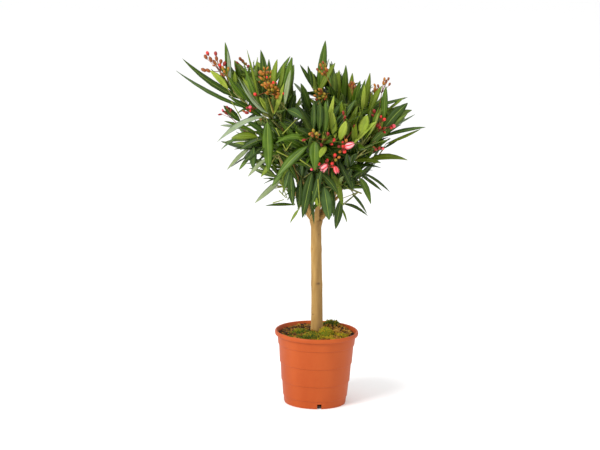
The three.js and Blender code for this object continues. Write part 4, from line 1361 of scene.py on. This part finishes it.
def leaf_points(batch, seed):
    """Half the width at t is (sin(pi t^0.9))^0.75 of the widest, and never less than the leaf's stalk.

    A point is the middle line, plus its column times that width along the side, plus a height along the
    normal: the fold times the width, a swell of each half, and half the thickness up or down. The side
    and the normal turn slowly about the line, and the line bows a little to one side.
    """
    draw = np.random.default_rng(seed)
    count = len(batch)
    keys = ("root", "reach", "side", "drop", "width")
    root, reach, side, drop, full = (np.array([leaf[key] for leaf in batch])[:, None] for key in keys)
    length = np.linalg.norm(reach, axis=-1)
    t = ROWS[None, :, None]
    bow = draw.normal(0, 0.018, (count, 1, 1)) * length[..., None]
    drop = drop[..., None]
    line = root + t * reach - UP * drop * t**2 + side * bow * np.sin(np.pi * t)
    normal = unit(np.cross(unit(reach - 2 * UP * drop * t), side))
    turn = draw.normal(0, 0.28, (count, 1, 1)) * t
    broad, upward = swung(side, normal, turn), swung(normal, -side, turn)
    shape = np.sin(np.pi * ROWS**0.9) ** 0.75
    width = np.maximum(full / 2 * shape, 0.9 * (1 - ROWS) + 0.15)[..., None]
    fold = draw.uniform(0.08, 0.36, (count, 1, 1))
    wave = draw.normal(0, 0.05, (count, 1, 1))
    wave = wave * np.sin(9 * ROWS + draw.uniform(0, 6, (count, 1)))[..., None]
    out = np.abs(COLUMNS)
    swell = 0.10 * out * (1 - out) * 4
    height = width * (fold * out + swell + wave * out * np.sign(COLUMNS))
    height += FACE * 0.28 - KEEL * (0.9 - 0.6 * ROWS)[:, None]
    blade = broad[:, :, None] * (width * COLUMNS)[..., None] + upward[:, :, None] * height[..., None]
    points = closed_tube(line[:, :, None] + blade)
    points[:, -1] = (root + reach - UP * drop)[:, 0]
    points[:, 0] = root[:, 0] - reach[:, 0] * 0.01
    return points


flat_uv = np.stack(np.broadcast_arrays(COLUMNS[None] * 0.5 + 0.5, ROWS[:, None]), axis=-1).reshape(-1, 2)
LEAF_UV = np.concatenate([[(0.5, 0)], flat_uv, [(0.5, 1)]])
print("points of a leaf:", len(LEAF_UV))

# %% [markdown]
# The upper face is deep green with a satin gloss, and fine side veins run out from the midrib. The
# underside is paler and duller, though kept darker than a real one as painted shade, and a deep green leaf
# has mid green below for the same shade. The veins are a fine bump from the leaf's own map, where one side
# of the map is the width and the other the length.

# %% Leaf finishes
VEINS = 30.0
# For each finish: its two close colours and its roughness
LEAF_TONES = {
    # Deep green, also used as painted shade inside and low in the crown
    "leaf_deep_and_painted_shade": ((0.020, 0.046, 0.002), (0.036, 0.072, 0.003), 0.38),
    "leaf_mid": ((0.045, 0.092, 0.003), (0.072, 0.134, 0.005), 0.40),
    "leaf_olive": ((0.098, 0.148, 0.004), (0.142, 0.192, 0.008), 0.44),
    "leaf_cool": ((0.032, 0.072, 0.010), (0.058, 0.108, 0.018), 0.36),
    "leaf_young": ((0.215, 0.295, 0.018), (0.315, 0.380, 0.048), 0.45),
    "leaf_pale": ((0.165, 0.208, 0.092), (0.240, 0.282, 0.148), 0.48),
    # A pale grey-green that is painted sheen: it stands in for the gloss of a leaf in the light
    "leaf_painted_sheen": ((0.155, 0.205, 0.112), (0.262, 0.312, 0.200), 0.32),
    # Paler than the top, but kept darker than a real underside as painted shade under the leaves
    "leaf_underside_and_painted_shade": ((0.078, 0.128, 0.014), (0.122, 0.172, 0.030), 0.52),
    "leaf_young_underside": ((0.220, 0.320, 0.030), (0.310, 0.390, 0.060), 0.52),
}


def veined(name, colour, light, roughness):
    """A leaf's skin: two close greens from a soft noise, and veins as waves along the leaf's length."""
    made = plain_finish(name, colour, roughness, 0.24)
    tones(made, grain(made, 45, (1, 1, 1), 3), (0.32, colour), (0.72, light))
    place = laid_out(made, "UV", (0.0, VEINS, 0.0))
    wave = node_of(made, "TexWave", Vector=place, Scale=1.0, Distortion=0.6)
    wave.bands_direction = "Y"
    relief(made, wave.outputs["Fac"], 0.0002, 0.35)
    return made


leaf_finishes = [veined(name, *values) for name, values in LEAF_TONES.items()]
leaf_finishes.append(plain_finish("midrib", (0.197, 0.271, 0.041), 0.5, 0.2))
SHADED_UNDERSIDE, YOUNG_UNDERSIDE, MIDRIB = 7, 8, 9
TOP, RIB, BELOW = range(3)
COLUMN_KIND = [TOP, TOP, RIB, TOP, TOP, BELOW, RIB, BELOW]


def leaf_kinds(tint):
    """The finish of each face: the spray's green on top, its underside below, and the midrib between.

    A deep green leaf has the darker mid green below, as painted shade.
    """
    below = {YOUNG: YOUNG_UNDERSIDE, DEEP_AND_SHADE: MID}.get(tint, SHADED_UNDERSIDE)
    return np.tile([(tint, MIDRIB, below)[kind] for kind in COLUMN_KIND], len(ROWS) + 1)


print("leaf finishes:", len(leaf_finishes))

# %% Leaves as pieces
LEAF_SEED = 60
for i, one in enumerate(MASSES):
    batch = [leaf for leaf in leaves if leaf["mass"] is one]
    points = leaf_points(batch, LEAF_SEED + i)
    kinds = [leaf_kinds(leaf["tint"]) for leaf in batch]
    uv = np.tile(LEAF_UV, (len(batch), 1, 1))
    piece = new_piece("leaves_" + one["name"], points, len(COLUMNS), leaf_finishes, kinds, uv)
    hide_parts("foliage_" + one["name"])
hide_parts(*["foliage_" + one["name"] for one in MASSES])

# %% [markdown]
# ## Buds and blossom
# Many shoots end in a spray of buds on a branching stalk. High in the crown the buds are orange to olive,
# and lower down coral red. The solids carry a few large buds for each spray. Here a spray has as many buds
# as the picture shows: slim tubes that swell past their middle, in two colours, the calyx and the petals. A
# spray gets them from forks by the golden angle, or one by one from the rows further down, or from both.

# %% Sprays of buds
# Each row: the mass, the top of the spray, how many forks it has, and whether its buds are coral red
SPRAYS = [
    ("left_high", (-245, -20, 782), 1, False),
    ("left_high", (-227, -40, 780), 3, False),
    ("left_front", (-143, -90, 778), 15, False),
    ("left_front", (-128, -135, 752), 26, False),
    ("left_back", (-185, 34, 778), 1, False),
    ("centre_high", (-5, -46, 778), 0, False),
    ("centre_high", (-9, -62, 720), 2, False),
    ("centre_front", (-21, -190, 652), 2, False),
    ("centre_front", (26, -170, 633), 2, True),
    ("right_high", (64, -14, 738), 1, False),
    ("right_far", (135, -12, 746), 1, False),
    ("left_low", (-222, -20, 672), 1, True),
    ("left_front", (-166, -128, 692), 1, True),
    ("right_front", (48, -166, 627), 2, True),
    ("centre_low", (16, -166, 590), 2, True),
    ("right_side", (132, -60, 664), 2, True),
    ("right_side", (124, -90, 606), 1, True),
    ("back_right", (124, 142, 716), 8, False),
    ("back_left", (-128, 176, 722), 8, True),
    ("back_centre", (20, 165, 722), 8, False),
]
FORKED_PART = 30
OLIVE_BUD, BROWN, ORANGE, CORAL, ROSE, DARK_RED = range(6)
ANY_COLOUR = -1
stalks, buds = [], []


def add_spray(one, top, forks, red):
    """A stalk from the nearest shoot's tip, and forks by the golden angle, the lower ones opening wider.

    Each fork ends in a bud, and most of them carry a second, smaller one to the side.
    """
    random = one["random"]
    tip = nearest_shoot_point(one, top, 0.94)
    rise = np.linalg.norm(top - tip)
    axis = unit(top - tip)
    crotch = tip + axis * max(12, rise - FORKED_PART)
    stalks.append((tip, crotch, 1.0, red))
    for k in range(forks):
        share = k / forks
        foot = crotch - axis * (8 + forks) * share
        way = fanned(axis, GOLDEN * k, 8 + 40 * share**0.8 + 8 * next(random))
        end = foot + way * (7 + 15 * next(random))
        stalks.append((foot, end, 0.7, red))
        add_bud(end - way, way, (8 if red else 9) + 5 * next(random), red)
        if next(random) < (0.4 if red else 0.65):
            sideways = fanned(way, 360 * next(random), 50)
            start = end - way * 4
            stalks.append((start, start + sideways * 6, 0.5, red))
            add_bud(start + sideways * 5, sideways, 7 + 3 * next(random), red)
    return crotch


def add_bud(foot, way, size, red):
    """A bud from where it starts, its radius a quarter of its length, and without a colour of its own."""
    buds.append((foot, way, size, 0.26 * size, red, ANY_COLOUR))


def add_placed_bud(spray, middle, way, size, thick, stalk, red, colour, stretch=1.0):
    """A bud by its middle, its way and its colour, with its stalk from where the spray forks."""
    foot = middle - way * size / 2
    stalks.append((crotches[spray], foot + way, stalk, red))
    buds.append((foot, way, size * stretch, thick / 2, red, colour))


crotches = [add_spray(by_name[name], np.array(top), forks, red) for name, top, forks, red in SPRAYS]
print("buds:", len(buds))

# %% [markdown]
# Where the picture shows the buds of a spray one by one, each has its own place, on a thin stalk from where
# its spray forks. The coral ones low in the crown, beside the flowers, are larger and fewer, and each
# points its own way. Those of the high sprays point away from their stalk and a little up.

# %% Single buds and opening flowers
# For each spray, by its row above, each bud's middle, how far it points across and up, its length, its
# thickness and its colour
BUD_TO_FRONT = -0.4
SINGLE_BUDS = {
    8: [
        (12, -165, 645, -0.2, 1.0, 10, 7, DARK_RED), (23, -172, 633, 0.9, 0.35, 12, 9, CORAL),
        (20, -170, 624, 0.9, -0.1, 8, 6.5, CORAL), (-2, -160, 620, -0.3, 0.9, 9, 6.5, DARK_RED),
    ],
    13: [
        (36, -170, 619, -0.8, 0.5, 8, 6.5, DARK_RED), (45, -172, 619, 0.1, 0.9, 9, 7.5, CORAL),
        (48, -170, 609, 0.6, -0.8, 11, 9, CORAL), (39, -166, 607, -0.8, -0.6, 8, 6.5, ORANGE),
        (52, -164, 631, 0.2, 1.0, 9, 7, ORANGE), (70, -120, 656, 0.0, 1.0, 10, 5.5, DARK_RED),
        (45, -118, 685, -0.2, 1.0, 12, 6, DARK_RED), (49, -118, 675, 0.1, 1.0, 10, 5.5, DARK_RED),
    ],
    14: [
        (28, -170, 599, 0.1, 1.0, 11, 7.5, CORAL), (37, -168, 595, 0.8, 0.6, 8, 6.5, ORANGE),
        (30, -168, 589, 0.2, 0.9, 8, 7, OLIVE_BUD), (23, -172, 581, -0.4, 0.8, 9, 7.5, CORAL),
        (-5, -170, 579, -0.8, 0.7, 11, 8, CORAL), (-21, -168, 567, -0.9, -0.1, 8, 6, ROSE),
        (10, -166, 585, -0.3, 0.9, 8, 6, DARK_RED),
    ],
    7: [
        (-27, -185, 647, -0.8, 0.2, 8, 6.5, ORANGE), (-40, -175, 632, -1.0, -0.2, 10, 6, DARK_RED),
        (-20, -188, 655, -0.1, 1.0, 10, 7, OLIVE_BUD), (-13, -188, 649, 0.6, 0.7, 9, 6.5, OLIVE_BUD),
        (-22, -188, 644, -0.2, 0.6, 9, 6.5, BROWN),
    ],
    15: [
        (114, -60, 682, -0.2, 1.0, 11, 8, DARK_RED), (111, -60, 673, -0.5, 0.8, 9, 6, DARK_RED),
        (136, -60, 664, 0.7, 0.6, 11, 8, CORAL), (129, -60, 670, 0.2, 1.0, 9, 6, CORAL),
        (122, -60, 651, 0.9, 0.1, 12, 8, DARK_RED), (127, -60, 647, 0.7, -0.2, 8, 6, CORAL),
        (157, -60, 650, 0.9, 0.3, 12, 10, ROSE), (152, -60, 647, 0.5, -0.6, 9, 7, CORAL),
    ],
    16: [
        (119, -90, 602, -0.4, 0.5, 10, 6.5, DARK_RED), (127, -90, 605, 0.3, 0.9, 9, 6, DARK_RED),
        (134, -90, 604, 0.9, -0.1, 9, 6, ROSE), (115, -90, 606, -0.6, 0.8, 8, 5.5, BROWN),
    ],
    11: [
        (-228, -20, 661, -1.0, -0.1, 11, 4.5, DARK_RED), (-222, -20, 670, -0.3, 1.0, 9, 5, ROSE),
        (-212, -22, 678, -0.6, 0.8, 9, 5, DARK_RED), (-204, -20, 672, 0.2, 1.0, 9, 5, DARK_RED),
    ],
    12: [
        (-158, -132, 694, -0.3, 0.9, 10, 8, ROSE), (-166, -130, 682, -0.8, 0.2, 11, 7, DARK_RED),
        (-172, -130, 685, -0.9, 0.4, 9, 5, BROWN),
    ],
    3: [
        (-148, -134, 723, -0.5, 0.8, 10, 7.5, CORAL),
    ],
}
# Each row: the spray, how deep its buds stand, their length and thickness, their colours in turn, whether
# the stalks are red, and then across and height of the middle of each bud
CLUSTERS = [
    (0, -20, 12, 8, (CORAL, BROWN, BROWN, DARK_RED, BROWN, BROWN, BROWN, DARK_RED, BROWN, BROWN), True,
     [(-258, 798), (-262, 789), (-251, 783), (-240, 798), (-238, 786), (-266, 759),
      (-228, 781), (-220, 775), (-256, 758), (-225, 751), (-230, 770)]),
    (4, 34, 11, 7.5, (BROWN, DARK_RED), True,
     [(-187, 781), (-194, 770), (-193, 757), (-168, 764), (-181, 775)]),
    (5, -46, 9, 6, (BROWN, ORANGE, OLIVE_BUD, BROWN), False,
     [(-2, 787), (-7, 780), (3, 780), (-14, 771), (-4, 773), (5, 771),
      (-9, 766), (2, 764), (8, 768), (-3, 761)]),
    (6, -64, 9, 6.5, (ORANGE, OLIVE_BUD, BROWN, OLIVE_BUD, ORANGE), False,
     [(-9, 729), (-16, 724), (-5, 724), (3, 719), (-18, 714), (-8, 718), (1, 713), (-14, 706),
      (-7, 708), (-8, 697), (10, 697)]),
    (9, -14, 9, 6, (BROWN, BROWN, ORANGE), False,
     [(63, 740), (59, 733), (68, 735), (72, 731), (66, 728)]),
    (10, -12, 9, 5.5, (BROWN, ORANGE, BROWN), True,
     [(145, 750), (136, 748), (140, 742), (148, 738), (115, 734), (123, 731)]),
]
# Each row: the spray, the flower's foot, the way it opens, its length, its half width as a share of that,
# how far its mouth opens, and whether it is coral all over
FLOWERS = [(13, (47, -174, 616), (0.82, -0.30, 0.48), 27, 0.25, 0.0, False),
           (14, (12, -169, 581), (-0.55, -0.55, -0.62), 22, 0.28, 0.7, False),
           (14, (27, -170, 577), (0.40, -0.45, -0.75), 20, 0.24, 0.5, True)]
# The thick pale stalk that shows under the fullest spray
THICK_STALK = ((-108, -138, 684), (-120, -138, 721), 1.7, False)

for spray, rows in SINGLE_BUDS.items():
    for x, y, z, to_right, to_top, size, thick, colour in rows:
        way = unit(np.array([to_right, BUD_TO_FRONT, to_top]))
        add_placed_bud(spray, np.array([x, y, z]), way, size, thick, 0.5, True, colour)
for spray, depth, size, thick, colours, red, middles in CLUSTERS:
    for k, (x, z) in enumerate(middles):
        middle = np.array([x, depth + 4 * (k % 3 - 1), z])
        way = unit(unit(middle - crotches[spray]) + 0.5 * UP)
        colour = colours[k % len(colours)]
        add_placed_bud(spray, middle, way, size, thick, 0.6, red, colour, 0.9 + 0.1 * (k % 3))
stalks.append(THICK_STALK)
stalks += [(crotches[spray], foot, 0.8, True) for spray, foot, *_ in FLOWERS]
print("buds with those of the rows:", len(buds))

# %% Stalks and buds as pieces
STALK_SHARES, STALK_GIRTH, STALK_SIDES = np.array([0, 0.5, 1.0]), np.array([1.25, 1.0, 0.9]), 6
BUD_ROWS = np.array([0.0, 0.12, 0.3, 0.55, 0.78, 0.92, 0.985])
BUD_GIRTH = np.array([0.34, 0.66, 0.88, 1.0, 0.84, 0.5, 0.16])
BUD_SIDES = 8
CALYX_ROWS = 3
BUD_SEED = 77
STALK_COLOURS = {"bud_stalk": (0.26, 0.15, 0.02), "red_bud_stalk": (0.22, 0.050, 0.018)}
# For each bud finish, in the order of the colours' names above: its colour and its roughness
BUD_TONES = {
    "bud_olive": ((0.28, 0.195, 0.014), 0.45),
    "bud_brown": ((0.23, 0.060, 0.012), 0.45),
    "bud_orange": ((0.37, 0.132, 0.014), 0.42),
    "bud_coral": ((0.66, 0.030, 0.022), 0.40),
    "bud_rose": ((0.74, 0.085, 0.12), 0.40),
    "bud_dark_red": ((0.26, 0.022, 0.016), 0.42),
}


def slim_tubes(starts, ends, radii, shares, sides):
    """Straight tubes, each between its own two points, with radii given for each ring."""
    starts, ends = np.asarray(starts, float), np.asarray(ends, float)
    points = starts[:, None] + (ends - starts)[:, None] * shares[:, None]
    way = unit(ends - starts)
    first = unit(np.cross(way, [0.31, 0.17, 0.93]))
    outward = swung(first[:, None], np.cross(way, first)[:, None], even_turns(sides)[:, None])
    return points[:, :, None] + outward[:, None] * radii[:, :, None, None]


foot, end, thick, red = (np.array(column) for column in zip(*stalks))
stalk_rings = slim_tubes(foot, end, thick[:, None] * STALK_GIRTH, STALK_SHARES, STALK_SIDES)
stalk_finishes = plain_finishes(STALK_COLOURS, 0.5, 0.3)
stalk_piece = new_piece("bud_stalks", closed_tube(stalk_rings), STALK_SIDES, stalk_finishes, red)

foot, way, length, girth, red, set_colour = (np.array(column) for column in zip(*buds))
bud_rings = slim_tubes(foot, foot + way * length[:, None], girth[:, None] * BUD_GIRTH, BUD_ROWS, BUD_SIDES)
draw = np.random.default_rng(BUD_SEED)
calyx = np.where(red, DARK_RED, np.where(draw.uniform(size=len(red)) < 0.5, OLIVE_BUD, ORANGE))
petal_pick = draw.uniform(size=len(red))
high_petal = np.array([ORANGE, BROWN, OLIVE_BUD, CORAL])[np.searchsorted((0.45, 0.78, 0.92), petal_pick)]
low_petal = np.array([CORAL, DARK_RED, BROWN])[np.searchsorted((0.4, 0.75), petal_pick, side="right")]
petal = np.where(set_colour == ANY_COLOUR, np.where(red, low_petal, high_petal), set_colour)
calyx = np.where(np.isin(set_colour, (OLIVE_BUD, ORANGE, BROWN)), set_colour, calyx)
in_calyx = np.repeat([*(np.arange(len(BUD_ROWS) - 1) < CALYX_ROWS), True, False], BUD_SIDES)
bud_kinds = np.where(in_calyx, calyx[:, None], petal[:, None])
bud_finishes = [plain_finish(name, *values, 0.3) for name, values in BUD_TONES.items()]
bud_piece = new_piece("buds", closed_tube(bud_rings), BUD_SIDES, bud_finishes, bud_kinds)

# %% [markdown]
# A flower that is just opening is five petals rolled round each other, pale with coral edges and a coral
# foot. Each petal could be a bent card, but its rolled edge needs thickness, so it is a closed blade that
# swells past its middle, winds round the others and draws in at its end.

# %% Opening flowers
PETAL_ROWS = np.linspace(0, 1, 9)
PETAL_COLUMNS = np.array([1, 0.5, 0, -0.5, -1, -0.5, 0, 0.5])
PETAL_FACE = np.array([0, 1, 1, 1, 0, -1, -1, -1])


def petal_rings(foot, axis, turn, size, girth, mouth):
    """A petal runs up the axis at a distance that swells to girth times the size and draws in at the end.

    The petal winds by 0.8 of a radian on its way and is widest at three fifths of it. Its two edges lie at
    different distances, so that each petal tucks under the next.
    """
    first, second = across(axis)
    t = PETAL_ROWS[:, None]
    half = 0.85 * np.sqrt(np.clip(1 - ((t - 0.6) / 0.46) ** 2, 0.03, 1))
    turn = turn + 0.8 * t + half * PETAL_COLUMNS
    swelling = np.sin(0.92 * np.pi * t**0.85) ** 0.8 + mouth * t**3
    away = size * girth * swelling + 0.3 * PETAL_FACE + 0.8 * PETAL_COLUMNS * t
    rise = size * (t - 0.12 * np.abs(PETAL_COLUMNS) * t**4)
    outward = swung(first, second, turn[..., None])
    return foot + axis * rise[..., None] + outward * np.maximum(away, 0.4)[..., None]


PETALS = 5
PALE_PETAL, PINK_PETAL, CORAL_PETAL = range(3)
PETAL_COLOURS = {
    "petal_pale": (0.84, 0.34, 0.36),
    "petal_pink": (0.84, 0.20, 0.23),
    "petal_coral": (0.74, 0.050, 0.055),
}
PALE_FLOWER = [CORAL_PETAL, PALE_PETAL, PALE_PETAL, PINK_PETAL] + [PALE_PETAL] * 4
CORAL_FLOWER = [CORAL_PETAL, CORAL_PETAL, PINK_PETAL, PALE_PETAL] + [PINK_PETAL] * 4


def petal_kinds(all_coral):
    """The finish of each face of a petal: coral at its foot, then the flower's own from edge to edge."""
    kinds = np.tile(CORAL_FLOWER if all_coral else PALE_FLOWER, (len(PETAL_ROWS) - 1, 1))
    kinds[:2] = CORAL_PETAL
    kinds[2] = np.where(kinds[2] == PALE_PETAL, PINK_PETAL, kinds[2])
    return [*kinds.ravel(), *np.repeat([CORAL_PETAL, PINK_PETAL], len(PETAL_COLUMNS))]


petals, kinds = [], []
for i, (_, foot, way, size, girth, mouth, all_coral) in enumerate(FLOWERS):
    for turn in even_turns(PETALS) + i:
        petals.append(petal_rings(np.array(foot), unit(np.array(way)), turn, size, girth, mouth))
        kinds.append(petal_kinds(all_coral))
petal_finishes = plain_finishes(PETAL_COLOURS, 0.5, 0.3)
blossom = new_piece(
    "blossom", closed_tube(np.stack(petals)), len(PETAL_COLUMNS), petal_finishes, kinds
)
for piece in (stalk_piece, bud_piece, blossom):
    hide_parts(*sorted({"foliage_" + name for name, _, _, _ in SPRAYS}))
